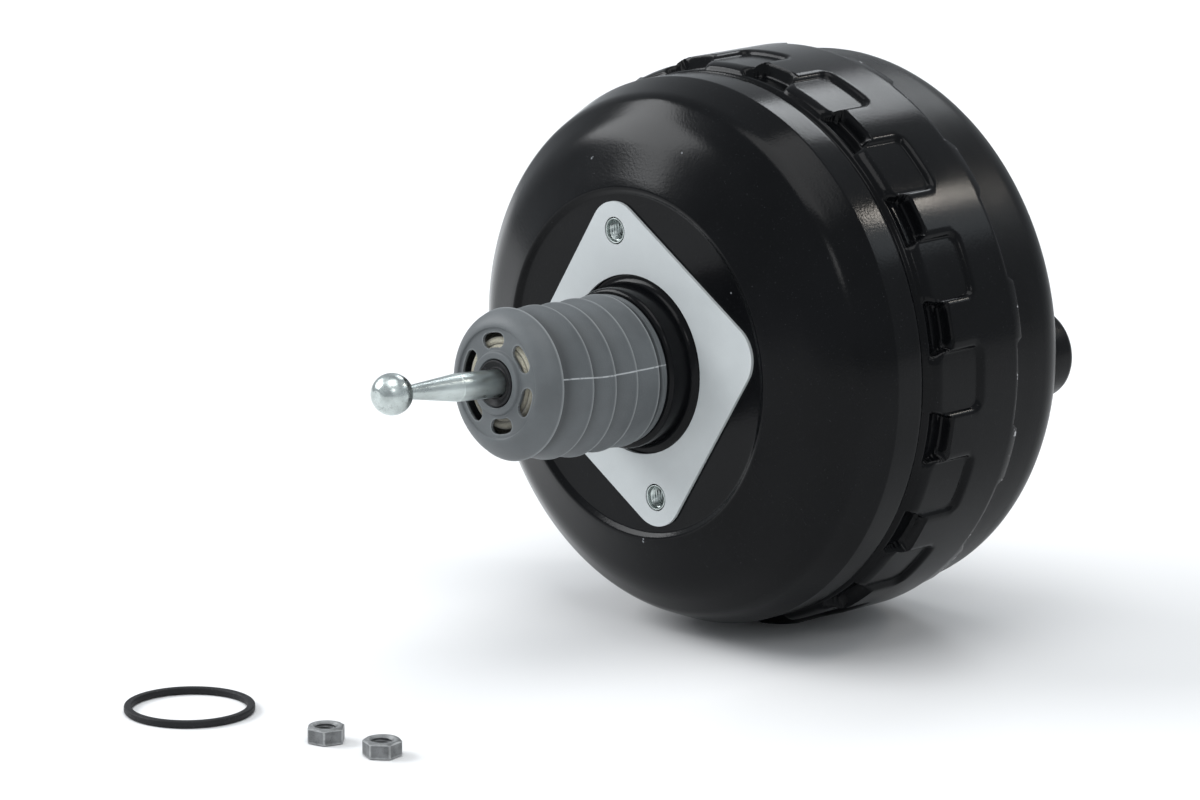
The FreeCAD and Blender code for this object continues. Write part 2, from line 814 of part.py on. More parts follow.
def air_filter():
    y0 = station(boot_cap_station) + boot_t + seat_gap
    y1 = y0 + filter_t
    inner = rod_r + 0.4
    bevel = filter_t / 2
    disc = turned([(inner, y0), (filter_r - bevel, y0), (filter_r, y0 + bevel), (filter_r, y1), (inner, y1)])
    return on_rod(disc)


def boot_hub_ring():
    y0 = station(hub_station) - 0.2
    y1 = station(boot_cap_station) + boot_t
    inner = rod_r + 0.05
    outer = boot_hole_r - fit_gap
    return on_rod(turned([(inner, y0), (outer - 0.9, y0), (outer, y0 + 1), (outer, y1), (inner, y1)]))


# Dust boot: collar on the neck, bellows bent towards the tilted rod, slotted nose
def boot_circle(along, radius):
    """A circle of the bellows: its centre and its tilt run smoothly from the neck to the rod."""
    start = pivot_y - boot_end_y
    share = (along - start) / (boot_nose_station - start)
    share = min(max(share, 0.0), 1.0)
    blend = share * share * (3 - 2 * share)
    circle = Part.makeCircle(radius, V(0, station(along), 0), AXIS)
    circle.rotate(V(0, pivot_y, 0), V(1, 0, 0), -rod_tilt * blend)
    return Part.Wire(circle)


def bellows(inset):
    """The bellows as a solid of straight flanks between crest and root circles."""
    start = pivot_y - boot_end_y
    collar_r = boot_collar_r - inset
    wires = [boot_circle(start, collar_r), boot_circle(start + boot_collar_length, collar_r)]
    for i, crest in enumerate(boot_crest_stations[:-1]):
        wires.append(boot_circle(crest, boot_crest_r - inset))
        following = boot_crest_stations[i + 1]
        root = crest + 0.45 * (following - crest)
        if root < boot_nose_station - 3:
            wires.append(boot_circle(root, boot_root_r - inset))
    wires.append(boot_circle(boot_nose_station, boot_root_r + 0.6 - inset))
    return Part.makeLoft(wires, True, True)


def dust_boot():
    cap = station(boot_cap_station)
    crest = station(boot_crest_stations[-1])
    base = station(boot_nose_station)
    root_r = boot_root_r + 0.6
    crest_r = boot_crest_r - 0.6
    shoulder_r = boot_crest_r - 3
    shoulder = crest - boot_shoulder_drop
    outer = turned([
        (0, base), (root_r, base), (crest_r, crest, 1.0), (shoulder_r, shoulder), (boot_cap_r, cap, 4.0),
        (boot_hub_r, cap), (boot_hub_r, cap - 1.0), (0, cap - 1.0)])
    inner = turned([
        (0, base + 1), (root_r - boot_t, base + 1), (root_r - boot_t, base), (crest_r - boot_t, crest),
        (shoulder_r - boot_t, shoulder + 0.8), (boot_cap_r - boot_t, cap + boot_t), (0, cap + boot_t)])
    slot_in = boot_slot_r - boot_slot_width / 2
    slot_out = boot_slot_r + boot_slot_width / 2
    slot = turned([(slot_in, cap - 1), (slot_out, cap - 1), (slot_out, cap + 4), (slot_in, cap + 4)],
                  boot_slot_angle)
    slots = repeated(round_axis(slot, bolt_tilt - 90 - boot_slot_angle / 2), boot_slot_count)
    hole = rod(boot_hole_r, cap - 5, cap + 5)
    outer = on_rod(outer)
    inner = on_rod(inner)
    cuts = [on_rod(s) for s in slots] + [on_rod(hole)]
    shell = outer.fuse(bellows(0.0)).cut([inner, bellows(boot_t)]).cut(cuts)
    mouth = rod(spigot_r + fit_gap, spigot_end_y - 1, boot_end_y + 1)
    return one(shell.cut(mouth))


# Loose fixing set: the master cylinder's seal ring and its two nuts
def master_cylinder_seal():
    inner = seal_out_r - seal_width
    outer = seal_out_r
    top = seal_height
    corners = [(inner, 0, 0.9), (outer, 0, 0.9), (outer, top, 0.9), (inner, top, 0.9)]
    section = Part.Wire(rounded_edges(corners, plan_point, True))
    body = Part.Face(section).revolve(ORIGIN, V(0, 0, 1), 360.0)
    body.translate(V(seal_x, seal_y, floor_z))
    return body


def master_cylinder_nuts():
    across_corners = nut_flats / math.cos(math.radians(30))
    nuts = []
    for x, y, angle in nut_places:
        points = []
        for i in range(7):
            turn = math.radians(angle + 60 * i)
            points.append(V(math.cos(turn), math.sin(turn), 0) * (across_corners / 2))
        prism = Part.Face(Part.makePolygon(points)).extrude(V(0, 0, nut_height))
        chamfer = Part.makeCone(across_corners / 2 + 2.6, nut_flats / 2 - 0.3, nut_height + 0.2)
        nut = prism.common(chamfer).cut(Part.makeCylinder(thread_minor_r, nut_height + 2, V(0, 0, -1)))
        nut.translate(V(x, y, floor_z))
        nuts.append(nut)
    return group(nuts)


NODES = {
    "rear_shell": rear_shell,
    "front_shell": front_shell,
    "vacuum_grommet": vacuum_grommet,
    "bulkhead_gasket": bulkhead_gasket,
    "tie_bolts": tie_bolts,
    "tie_bolt_seals": tie_bolt_seals,
    "neck_guide": neck_guide,
    "neck_seal": neck_seal,
    "control_housing": control_housing,
    "stop_key": stop_key,
    "diaphragm_plate": diaphragm_plate,
    "plate_clip": plate_clip,
    "plate_bushes": plate_bushes,
    "reaction_disc": reaction_disc,
    "output_rod": output_rod,
    "output_rod_adjuster": output_rod_adjuster,
    "output_rod_retainer": output_rod_retainer,
    "diaphragm": diaphragm,
    "return_spring": return_spring,
    "poppet_valve": poppet_valve,
    "poppet_retainer": poppet_retainer,
    "poppet_spring": poppet_spring,
    "valve_plunger": valve_plunger,
    "rod_return_spring": rod_return_spring,
    "pedal_rod": pedal_rod,
    "rod_spring_seat": rod_spring_seat,
    "air_filter": air_filter,
    "boot_hub_ring": boot_hub_ring,
    "dust_boot": dust_boot,
    "master_cylinder_seal": master_cylinder_seal,
    "master_cylinder_nuts": master_cylinder_nuts,
}


def main():
    os.makedirs("parts", exist_ok=True)
    for name, make in NODES.items():
        shape = make()
        shape.exportStep("parts/" + name + ".step")
        box = shape.BoundBox
        print(name, len(shape.Solids), "solid", shape.isValid(), round(shape.Volume, 1),
              [round(v, 1) for v in (box.XMin, box.XMax, box.YMin, box.YMax, box.ZMin, box.ZMax)])


main()
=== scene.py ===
"""Looks of a vacuum brake booster: shells, gasket, dust boot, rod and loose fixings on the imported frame.

The frame's axes hold: +Y from the pedal towards the master cylinder, +Z up, metres.
Shape functions work in millimetres, and MM brings them to metres when a mesh is made.
Angles round the booster's axis are counted from +Z towards +X.
"""
import json
import math
import bmesh
import bpy
import numpy as np
from bpy.props import FloatProperty, FloatVectorProperty, IntProperty, PointerProperty
from mathutils import Matrix, Vector


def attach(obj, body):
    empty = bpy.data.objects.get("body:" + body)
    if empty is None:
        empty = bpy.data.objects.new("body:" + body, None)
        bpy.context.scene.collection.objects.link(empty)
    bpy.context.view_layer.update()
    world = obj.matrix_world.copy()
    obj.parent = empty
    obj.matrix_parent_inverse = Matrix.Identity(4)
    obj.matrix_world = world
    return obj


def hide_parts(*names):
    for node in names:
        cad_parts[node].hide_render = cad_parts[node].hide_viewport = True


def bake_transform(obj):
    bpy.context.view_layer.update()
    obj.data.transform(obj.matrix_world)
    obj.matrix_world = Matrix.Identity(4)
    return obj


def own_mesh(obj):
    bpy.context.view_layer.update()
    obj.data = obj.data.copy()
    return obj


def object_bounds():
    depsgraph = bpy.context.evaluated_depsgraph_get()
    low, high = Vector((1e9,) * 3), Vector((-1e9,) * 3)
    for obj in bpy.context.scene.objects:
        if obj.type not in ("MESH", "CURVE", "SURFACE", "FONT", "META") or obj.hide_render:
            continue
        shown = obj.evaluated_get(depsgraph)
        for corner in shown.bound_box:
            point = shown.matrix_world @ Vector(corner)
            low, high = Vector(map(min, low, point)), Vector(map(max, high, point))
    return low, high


bl_info = {
    "name": "Brake booster",
    "version": (1, 0, 0),
    "blender": (4, 5, 0),
    "location": "3D View > Sidebar > Booster",
    "description": "Builds the visible surfaces and finishes of a vacuum brake booster",
    "category": "Add Mesh",
}

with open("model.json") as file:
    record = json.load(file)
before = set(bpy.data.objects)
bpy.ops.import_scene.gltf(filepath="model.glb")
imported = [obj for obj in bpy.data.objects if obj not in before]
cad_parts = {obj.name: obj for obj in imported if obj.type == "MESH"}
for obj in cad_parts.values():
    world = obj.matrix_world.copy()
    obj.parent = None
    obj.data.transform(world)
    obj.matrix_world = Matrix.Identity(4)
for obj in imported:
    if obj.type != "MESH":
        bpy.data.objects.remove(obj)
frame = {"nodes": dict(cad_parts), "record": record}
CAD_BOX = [list(map(float, corner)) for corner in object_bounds()]
MM = 0.001
LONGEST_RUN = 12.0

# Places that the frame's solids give, in millimetres
FLOOR_Z = CAD_BOX[0][2] / MM
PIVOT_Y = frame["record"]["behaviour"]["joints"][2]["pos_m"][1] / MM
BOLT_TILT = -12.5
ROD_TILT = 4.84
FACE_Y = 152.0
BOLT_RING_R = 60.0
SHEET = 1.6
THREAD_R = 5.0
THREAD_PITCH = 1.5


# Settings that a user would change
class BoosterSizes(bpy.types.PropertyGroup):
    """Main sizes of the dressed booster."""

    band_radius: FloatProperty(
        name="Band radius", description="Outside of the rear shell's band", default=0.130, unit="LENGTH")
    window_count: IntProperty(
        name="Windows", description="Windows pressed into the band", default=16, min=1)
    window_width: FloatProperty(
        name="Window width", description="Width of a window round the band", default=0.0268,
        unit="LENGTH")
    window_depth: FloatProperty(
        name="Window depth", description="Depth of a window's floor below the band", default=0.0023,
        unit="LENGTH")
    boot_crest: FloatProperty(
        name="Boot rib radius", description="Radius of the dust boot's ribs", default=0.0340, unit="LENGTH")
    ball_radius: FloatProperty(
        name="Pedal ball radius", description="Radius of the ball at the rod's end", default=0.00915,
        unit="LENGTH")
    floor_size: FloatProperty(
        name="Floor size", description="Side of the studio floor", default=24.0, unit="LENGTH")


class BoosterFinishes(bpy.types.PropertyGroup):
    """Colours of the finishes."""

    shell: FloatVectorProperty(
        name="Shell paint", description="Black paint of both shells", default=(0.0024, 0.0026, 0.0031),
        size=3, subtype="COLOR")
    gasket: FloatVectorProperty(
        name="Gasket", description="Cool grey gasket sheet", default=(0.54, 0.57, 0.575),
        size=3, subtype="COLOR")
    boot: FloatVectorProperty(
        name="Boot rubber", description="Grey rubber of the dust boot", default=(0.100, 0.109, 0.114),
        size=3, subtype="COLOR")
    zinc: FloatVectorProperty(
        name="Zinc plate", description="Plated steel of the rod and bolts", default=(0.62, 0.68, 0.665),
        size=3, subtype="COLOR")
    felt: FloatVectorProperty(
        name="Filter felt", description="Felt behind the slots of the boot", default=(0.62, 0.58, 0.45),
        size=3, subtype="COLOR")
    floor: FloatVectorProperty(
        name="Floor", description="Pale studio floor", default=(0.86, 0.86, 0.86), size=3, subtype="COLOR")


# Curves and grids
def smooth(x, low, high):
    """A step from 0 at low to 1 at high along 3t^2 - 2t^3."""
    t = np.clip((x - low) / (high - low), 0.0, 1.0)
    return t * t * (3.0 - 2.0 * t)


def quarter_round(x, low, high):
    """A rise from 0 at low to 1 at high along a quarter of an ellipse, steep at low and level at high."""
    t = np.clip((x - low) / (high - low), 0.0, 1.0)
    return np.sqrt(np.maximum(0.0, 1.0 - (1.0 - t) ** 2))


def crowded(start, end, count, centres, spread, weight):
    """Places from start to end that crowd round the centres.

    They are equal steps of the running sum of 1 + weight * sum(exp(-((x - centre) / spread)^2)).
    """
    x = np.linspace(start, end, 4001)
    density = np.ones_like(x)
    for centre in centres:
        density += weight * np.exp(-((x - centre) / spread) ** 2)
    total = np.concatenate([[0.0], np.cumsum((density[1:] + density[:-1]) / 2.0)])
    return np.interp(np.linspace(0.0, total[-1], count), total, x)


def outline(corners, steps=6, closed=False):
    """Points of a line through corners (a, b, radius), with an arc of that radius in each corner.

    The arc touches both sides at radius / tan(half) from the corner, where half is half the
    corner's angle, and its centre lies radius / sin(half) along the bisector.
    """
    places = np.array([corner[:2] for corner in corners], float)
    count = len(corners)
    points = []
    for i, corner in enumerate(corners):
        radius = corner[2] if len(corner) > 2 else 0.0
        if radius <= 0 or (not closed and i in (0, count - 1)):
            points.append(places[i][None])
            continue
        back = places[i - 1] - places[i]
        ahead = places[(i + 1) % count] - places[i]
        back /= np.linalg.norm(back)
        ahead /= np.linalg.norm(ahead)
        half = math.acos(np.clip(back @ ahead, -1, 1)) / 2
        middle = (back + ahead) / np.linalg.norm(back + ahead)
        centre = places[i] + middle * radius / math.sin(half)
        first = places[i] + back * radius / math.tan(half) - centre
        last = places[i] + ahead * radius / math.tan(half) - centre
        share = np.linspace(0.0, 1.0, steps + 1)[:, None]
        sweep = math.pi - 2 * half
        arc = (np.sin((1 - share) * sweep) * first + np.sin(share * sweep) * last) / math.sin(sweep)
        points.append(centre + arc)
    return np.concatenate(points)


def divided(points, longest):
    """The same line with points added, so that no run is longer than the given length."""
    out = [points[:1]]
    for a, b in zip(points[:-1], points[1:]):
        count = max(1, math.ceil(np.linalg.norm(b - a) / longest))
        share = np.linspace(0.0, 1.0, count + 1)[1:, None]
        out.append(a + (b - a) * share)
    return np.concatenate(out)


def around(radius, along, angles):
    """Surface of revolution about Y: (r sin t, y, r cos t), where r and y may also vary with t."""
    r = np.broadcast_to(radius, np.broadcast_shapes(radius.shape, along.shape, (1, len(angles))))
    y = np.broadcast_to(along, r.shape)
    return np.stack([r * np.sin(angles), y, r * np.cos(angles)], axis=-1)


def turned(profile, columns):
    """An outline of (r, y) points turned about Y."""
    angles = np.linspace(0.0, 2 * math.pi, columns, endpoint=False)
    return around(profile[:, :1], profile[:, 1:2], angles)


def leaned(points, degrees=-ROD_TILT):
    """Points turned about the X axis through the rod's socket.

    They go to y' = y cos a - z sin a and z' = y sin a + z cos a, with y counted from the socket.
    """
    a = np.radians(degrees)
    y = points[..., 1] - PIVOT_Y
    z = points[..., 2]
    along = PIVOT_Y + y * np.cos(a) - z * np.sin(a)
    return np.stack([points[..., 0], along, y * np.sin(a) + z * np.cos(a)], axis=-1)


def grid_faces(rows, columns, loop):
    """Four-cornered faces of a grid, closed round its columns and, where loop is set, along its rows."""
    i = np.arange(rows if loop else rows - 1)[:, None]
    j = np.arange(columns)[None]
    i2 = (i + 1) % rows
    j2 = (j + 1) % columns
    corners = [i * columns + j, i2 * columns + j, i2 * columns + j2, i * columns + j2]
    return np.stack(corners, axis=-1).reshape(-1, 4)


def box_distance(u, v, half_u, low_v, high_v, corner):
    """Signed distance to a rectangle with rounded corners, below zero inside."""
    du = np.abs(u) - half_u + corner
    dv = np.abs(v - (low_v + high_v) / 2) - (high_v - low_v) / 2 + corner
    outside = np.hypot(np.maximum(du, 0), np.maximum(dv, 0))
    return outside + np.minimum(np.maximum(du, dv), 0) - corner


# Meshes
def wall_holes(work):
    """Gives every hole its wall: each open loop of edges is bridged to the open loop nearest to it."""
    left = {edge for edge in work.edges if edge.is_boundary}
    loops = []
    while left:
        loop, front = [], [left.pop()]
        while front:
            edge = front.pop()
            loop.append(edge)
            for vert in edge.verts:
                near = [other for other in vert.link_edges if other in left]
                left.difference_update(near)
                front.extend(near)
        centre = sum((v.co for edge in loop for v in edge.verts), Vector()) / (2 * len(loop))
        loops.append((centre, loop))
    while len(loops) > 1:
        centre, loop = loops.pop()
        k = min(range(len(loops)), key=lambda i: (loops[i][0] - centre).length)
        bmesh.ops.bridge_loops(work, edges=loop + loops.pop(k)[1])
    bmesh.ops.recalc_face_normals(work, faces=work.faces)


def make_piece(name, points, faces, look, body, node, marks=None, sharp=35.0, holes=False):
    """A closed mesh from points in millimetres, welded, turned outwards and riding on a body.

    It has the finish called look and stands for a node of the frame, which it hides.
    A piece without a body is left unattached.
    The sum of a . (b x c) / 6 over the triangles is the volume; where it is below zero, every
    face is turned round. Marks are named values per point for the materials.
    """
    flat = np.asarray(points, float).reshape(-1, 3) * MM
    a, b, c, d = (flat[faces[:, k]] for k in range(4))
    if (a * (np.cross(b, c) + np.cross(c, d))).sum() < 0:
        faces = faces[:, ::-1]
    mesh = bpy.data.meshes.new(name)
    mesh.from_pydata(flat.tolist(), [], faces.tolist())
    for key, values in (marks or {}).items():
        layer = mesh.attributes.new(key, "FLOAT", "POINT")
        layer.data.foreach_set("value", np.asarray(values, float).ravel())
    work = bmesh.new()
    work.from_mesh(mesh)
    bmesh.ops.remove_doubles(work, verts=work.verts, dist=2e-6)
    if holes:
        wall_holes(work)
    work.to_mesh(mesh)
    work.free()
    mesh.polygons.foreach_set("use_smooth", np.ones(len(mesh.polygons), bool))
    mesh.set_sharp_from_angle(angle=math.radians(sharp))
    mesh.materials.append(finish(look))
    piece = bpy.data.objects.new(name, mesh)
    bpy.context.scene.collection.objects.link(piece)
    if body:
        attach(piece, body)
    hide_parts(node)
    return piece


def turned_piece(name, corners, columns, look, node, centre=(0.0, 0.0), steps=6):
    """A piece of the housing: a closed outline of (r, y, radius) corners turned about an axis at (x, z)."""
    line = outline(corners, steps, closed=True)
    line = divided(np.concatenate([line, line[:1]]), LONGEST_RUN)[:-1]
    points = turned(line, columns) + np.array([centre[0], 0.0, centre[1]])
    make_piece(name, points, grid_faces(len(line), columns, True), look, "housing", node)


# Finishes
def shade(colour, share):
    """A colour made darker or lighter by a share."""
    return [min(1.0, v * share) for v in colour]


class Look:
    """A finish being made: its shader, and the steps that all finishes share."""

    def __init__(self, name):
        self.material = bpy.data.materials.new(name)
        self.material.use_nodes = True
        self.nodes = self.material.node_tree.nodes
        self.link = self.material.node_tree.links.new
        self.shader = self.nodes["Principled BSDF"]
        self.place = self.stretched(1.0, 1.0, 1.0)

    def stretched(self, *scale):
        """Object coordinates scaled along each axis."""
        mapping = self.nodes.new("ShaderNodeMapping")
        mapping.inputs["Scale"].default_value = scale
        self.link(self.nodes.new("ShaderNodeTexCoord").outputs["Object"], mapping.inputs["Vector"])
        return mapping.outputs["Vector"]

    def feed(self, socket, value):
        """Gives the shader's socket a value from another node."""
        self.link(value, self.shader.inputs[socket])

    def fix(self, **values):
        """Sets the shader's own sockets, named with underscores for spaces."""
        for key, value in values.items():
            self.shader.inputs[key.replace("_", " ")].default_value = value

    def ranged(self, value, low, high, from_low=0.0, from_high=1.0):
        """A value carried from one range to another, held at its ends."""
        spread = self.nodes.new("ShaderNodeMapRange")
        limits = (("From Min", from_low), ("From Max", from_high), ("To Min", low), ("To Max", high))
        for key, limit in limits:
            spread.inputs[key].default_value = limit
        self.link(value, spread.inputs["Value"])
        return spread.outputs["Result"]

    def noise(self, scale, detail=4.0, rough=0.55, low=0.35, high=0.65, where=None):
        """Noise brought to 0..1 between two of its values."""
        texture = self.nodes.new("ShaderNodeTexNoise")
        for key, value in (("Scale", scale), ("Detail", detail), ("Roughness", rough)):
            texture.inputs[key].default_value = value
        self.link(self.place if where is None else where, texture.inputs["Vector"])
        return self.ranged(texture.outputs["Fac"], 0.0, 1.0, low, high)

    def mixed(self, share, low, high):
        """A colour between two, by a share from 0 to 1; each may be a colour or another socket."""
        mix = self.nodes.new("ShaderNodeMix")
        mix.data_type = "RGBA"
        self.link(share, mix.inputs[0])
        for socket, value in ((mix.inputs[6], low), (mix.inputs[7], high)):
            if isinstance(value, (tuple, list)):
                socket.default_value = (*value[:3], 1.0)
            else:
                self.link(value, socket)
        return mix.outputs[2]

    def worked(self, operation, first, second):
        """Arithmetic on two values, of which the second may be a plain number."""
        step = self.nodes.new("ShaderNodeMath")
        step.operation = operation
        self.link(first, step.inputs[0])
        if isinstance(second, float):
            step.inputs[1].default_value = second
        else:
            self.link(second, step.inputs[1])
        return step.outputs["Value"]

    def times(self, first, second):
        return self.worked("MULTIPLY", first, second)

    def mark(self, name):
        """A named value of the mesh's points."""
        attribute = self.nodes.new("ShaderNodeAttribute")
        attribute.attribute_name = name
        return attribute.outputs["Fac"]

    def spot(self, place, radius):
        """1 inside a ball of that radius round a place, falling to 0 at its edge."""
        distance = self.nodes.new("ShaderNodeVectorMath")
        distance.operation = "DISTANCE"
        self.link(self.nodes.new("ShaderNodeTexCoord").outputs["Object"], distance.inputs[0])
        distance.inputs[1].default_value = place
        return self.ranged(distance.outputs["Value"], 1.0, 0.0, radius * 0.6, radius)

    def bump(self, height, depth):
        """Raises the surface by a height of 0..1 times a depth in metres."""
        bump = self.nodes.new("ShaderNodeBump")
        bump.inputs["Strength"].default_value = 1.0
        bump.inputs["Distance"].default_value = depth
        self.link(height, bump.inputs["Height"])
        self.feed("Normal", bump.outputs["Normal"])


def shell_paint(name, colour, gloss=(0.14, 0.20), chips_at=None, spots=()):
    """Satin black paint: fine orange peel, faint streaks of gloss, dust, and bare chips where a mark is."""
    look = Look(name)
    peel = look.noise(900.0, 2.0)
    cloud = look.noise(22.0, 3.0)
    dust = look.noise(1500.0, 2.0, 0.6, 0.69, 0.76)
    tone = look.mixed(cloud, colour, shade(colour, 1.5))
    tone = look.mixed(look.times(dust, 0.12), tone, (0.30, 0.31, 0.33))
    if chips_at:
        near = look.ranged(look.worked("ABSOLUTE", look.mark(chips_at), 0.0), 0.0, 1.0, 0.55, 0.95)
        flakes = look.noise(210.0, 3.0, 0.7, 0.615, 0.65)
        tone = look.mixed(look.times(near, flakes), tone, (0.42, 0.42, 0.43))
    for place, radius in spots:
        tone = look.mixed(look.spot(place, radius), tone, (0.20, 0.21, 0.22))
    look.feed("Base Color", tone)
    look.feed("Roughness", look.ranged(cloud, *gloss))
    look.fix(Specular_IOR_Level=0.12)
    look.bump(peel, 0.000012)
    return look.material


def gasket_sheet(name, colour):
    """Pale coated gasket sheet: soft mottling, short fibres and a faint rub."""
    look = Look(name)
    mottle = look.noise(60.0)
    fibre = look.noise(900.0, 3.0, where=look.stretched(1.0, 1.0, 5.0))
    tone = look.mixed(mottle, shade(colour, 0.95), colour)
    look.feed("Base Color", look.mixed(look.times(fibre, 0.16), tone, shade(colour, 0.82)))
    look.feed("Roughness", look.ranged(mottle, 0.46, 0.60))
    look.bump(fibre, 0.00002)
    return look.material


def plated_steel(name, colour, gloss=0.26, stretch=(1.0, 1.0, 1.0), pits=0.3, dark=0.35):
    """Zinc plate: cloudy tint, fine turning lines and small dark pits."""
    look = Look(name)
    cloud = look.noise(130.0, 5.0, 0.6, where=look.stretched(*stretch))
    lines = look.noise(1300.0, 2.0, where=look.stretched(0.15, 4.0, 0.15))
    speck = look.noise(800.0, 2.0, 0.6, 0.66, 0.72)
    tone = look.mixed(cloud, shade(colour, 0.62), colour)
    look.feed("Base Color", look.mixed(look.times(speck, pits), tone, shade(colour, dark)))
    look.fix(Metallic=1.0)
    look.feed("Roughness", look.ranged(cloud, gloss, gloss + 0.16))
    look.bump(look.worked("SUBTRACT", look.times(lines, 0.4), speck), 0.00002)
    return look.material


def boot_rubber(name, colour):
    """Matt grey rubber: painted highlights on the rib crests and round the slots, painted shade in the folds,
    a pale worn parting line, talc bloom and a fine moulded skin.
    """
    look = Look(name)
    bloom = look.noise(45.0)
    skin = look.noise(1100.0, 3.0)
    scuff = look.noise(420.0, 3.0, 0.6, 0.30, 0.48)
    tone = look.mixed(bloom, shade(colour, 0.90), shade(colour, 1.12))
    # Painted shade: the valley mark darkens the folds of the bellows
    tone = look.mixed(look.times(look.mark("valley"), 0.75), tone, shade(colour, 0.42))
    # Painted highlight: the rib mark lightens the rib crests and the edges of the slots
    tone = look.mixed(look.times(look.mark("rib"), 0.6), tone, (0.29, 0.305, 0.31))
    tone = look.mixed(look.times(look.mark("parting"), scuff), tone, (0.42, 0.44, 0.45))
    look.feed("Base Color", tone)
    look.feed("Roughness", look.ranged(bloom, 0.44, 0.56))
    look.fix(Specular_IOR_Level=0.4)
    look.bump(skin, 0.00003)
    return look.material


def plain_rubber(name, colour, bloom_share=0.5):
    """Black rubber: grey bloom, a fine skin and dust."""
    look = Look(name)
    bloom = look.noise(90.0, 5.0)
    skin = look.noise(1600.0, 3.0)
    dust = look.noise(900.0, 2.0, 0.6, 0.64, 0.74)
    tone = look.mixed(look.times(bloom, bloom_share), colour, shade(colour, 1.9))
    look.feed("Base Color", look.mixed(look.times(dust, 0.15), tone, (0.25, 0.25, 0.26)))
    look.feed("Roughness", look.ranged(skin, 0.50, 0.68))
    look.fix(Specular_IOR_Level=0.25)
    look.bump(skin, 0.00003)
    return look.material


def phosphated_steel(name):
    """Grey phosphate on the nuts: fine crystals, stains, and brighter metal worn through at the edges."""
    look = Look(name)
    crystal = look.noise(2200.0, 3.0)
    stain = look.noise(240.0)
    tone = look.mixed(stain, (0.085, 0.088, 0.090), (0.19, 0.195, 0.20))
    tone = look.mixed(look.times(crystal, 0.35), tone, (0.30, 0.31, 0.31))
    worn = look.times(look.mark("worn"), look.ranged(stain, 0.5, 1.0))
    look.feed("Base Color", look.mixed(worn, tone, (0.56, 0.57, 0.57)))
    look.fix(Metallic=0.55)
    look.feed("Roughness", look.ranged(crystal, 0.38, 0.60))
    look.bump(crystal, 0.00003)
    return look.material


def felt_wool(name, colour):
    """Pressed felt: tangled fibres, lighter tufts, a soft sheen, painted shade between its layers, and a
    darker, browner colour towards the bottom.
    """
    look = Look(name)
    fibre = look.noise(1400.0, 5.0, 0.7, where=look.stretched(1.0, 0.35, 1.0))
    tuft = look.noise(260.0, 3.0)
    tone = look.mixed(fibre, shade(colour, 0.72), shade(colour, 1.18))
    tone = look.mixed(look.times(tuft, 0.3), tone, (0.72, 0.68, 0.58))
    split = look.nodes.new("ShaderNodeSeparateXYZ")
    look.link(look.place, split.inputs[0])
    # Darker and browner towards the bottom
    lower = look.ranged(split.outputs["Z"], 1.0, 0.0, -0.004, 0.010)
    tone = look.mixed(lower, tone, shade(colour, 0.30))
    # Painted shade in the creases between the rolled layers and on the felt's sides and back
    look.feed("Base Color", look.mixed(look.mark("painted_layer_shade"), tone, shade(colour, 0.12)))
    look.fix(Roughness=0.92, Sheen_Weight=0.3)
    look.bump(fibre, 0.00025)
    return look.material


def moulded(name, low, high, rough=0.45):
    """Moulded plastic: a flow pattern in its colour and a fine grain."""
    look = Look(name)
    flow = look.noise(70.0, where=look.stretched(1.0, 0.4, 1.0))
    skin = look.noise(700.0, 3.0)
    look.feed("Base Color", look.mixed(flow, low, high))
    look.feed("Roughness", look.ranged(skin, rough - 0.06, rough + 0.08))
    look.bump(skin, 0.00002)
    return look.material


def finish(look):
    """The finish of that name, made on its first use."""
    colours = bpy.context.scene.booster_finishes
    key = "finish_" + look
    found = bpy.data.materials.get(key)
    if found:
        return found
    shell, gasket, boot, zinc, felt = (
        list(getattr(colours, name)) for name in ("shell", "gasket", "boot", "zinc", "felt"))
    makers = {
        "shell_black": lambda: shell_paint(key, shell, (0.27, 0.36)),
        "rear_shell_black": lambda: shell_paint(key, shell, chips_at="rim", spots=DOME_MARKS),
        "gasket_grey": lambda: gasket_sheet(key, gasket),
        "zinc_steel": lambda: plated_steel(key, zinc, 0.24),
        "rod_steel": lambda: plated_steel(key, zinc, 0.22, (1.0, 0.25, 1.0), 0.4),
        "ball_steel": lambda: plated_steel(key, shade(zinc, 0.98), 0.17, pits=0.7, dark=0.2),
        "spring_steel": lambda: plated_steel(key, [0.36, 0.37, 0.39], 0.34),
        "pressed_steel": lambda: plated_steel(key, [0.52, 0.53, 0.55], 0.32),
        "phosphated_steel": lambda: phosphated_steel(key),
        "boot_rubber": lambda: boot_rubber(key, boot),
        "black_rubber": lambda: plain_rubber(key, [0.010, 0.010, 0.011]),
        "diaphragm_rubber": lambda: plain_rubber(key, [0.020, 0.020, 0.022], 0.8),
        "moulded_resin": lambda: moulded(key, (0.035, 0.018, 0.010), (0.060, 0.034, 0.020)),
        "guide_plastic": lambda: moulded(key, (0.60, 0.58, 0.50), (0.72, 0.70, 0.63), 0.38),
        "filter_felt": lambda: felt_wool(key, felt),
    }
    return makers[look]()


# Small marks on the dome's paint: place in metres and size
DOME_MARKS = [
    ((-0.0335, 0.0055, 0.0877), 0.0007), ((-0.0328, 0.0057, 0.0884), 0.0005),
    ((0.0208, 0.0082, 0.0970), 0.0005), ((0.0578, 0.0015, 0.0410), 0.0005),
    ((0.0055, -0.0003, -0.0790), 0.0006), ((0.0050, 0.0003, -0.0803), 0.0007),
]


# Rear shell
NECK_END_Y = -20.0
GROOVE_Y = 55.0
RING_Y = 57.6
BAND_TOP_Y = 107.0
WINDOW_SHIFT = 0.5
WINDOW_END_Y = 84.2
WINDOW_CORNER_R = 2.8
WINDOW_WALL = 3.2
TAB_SPACING = 30.0


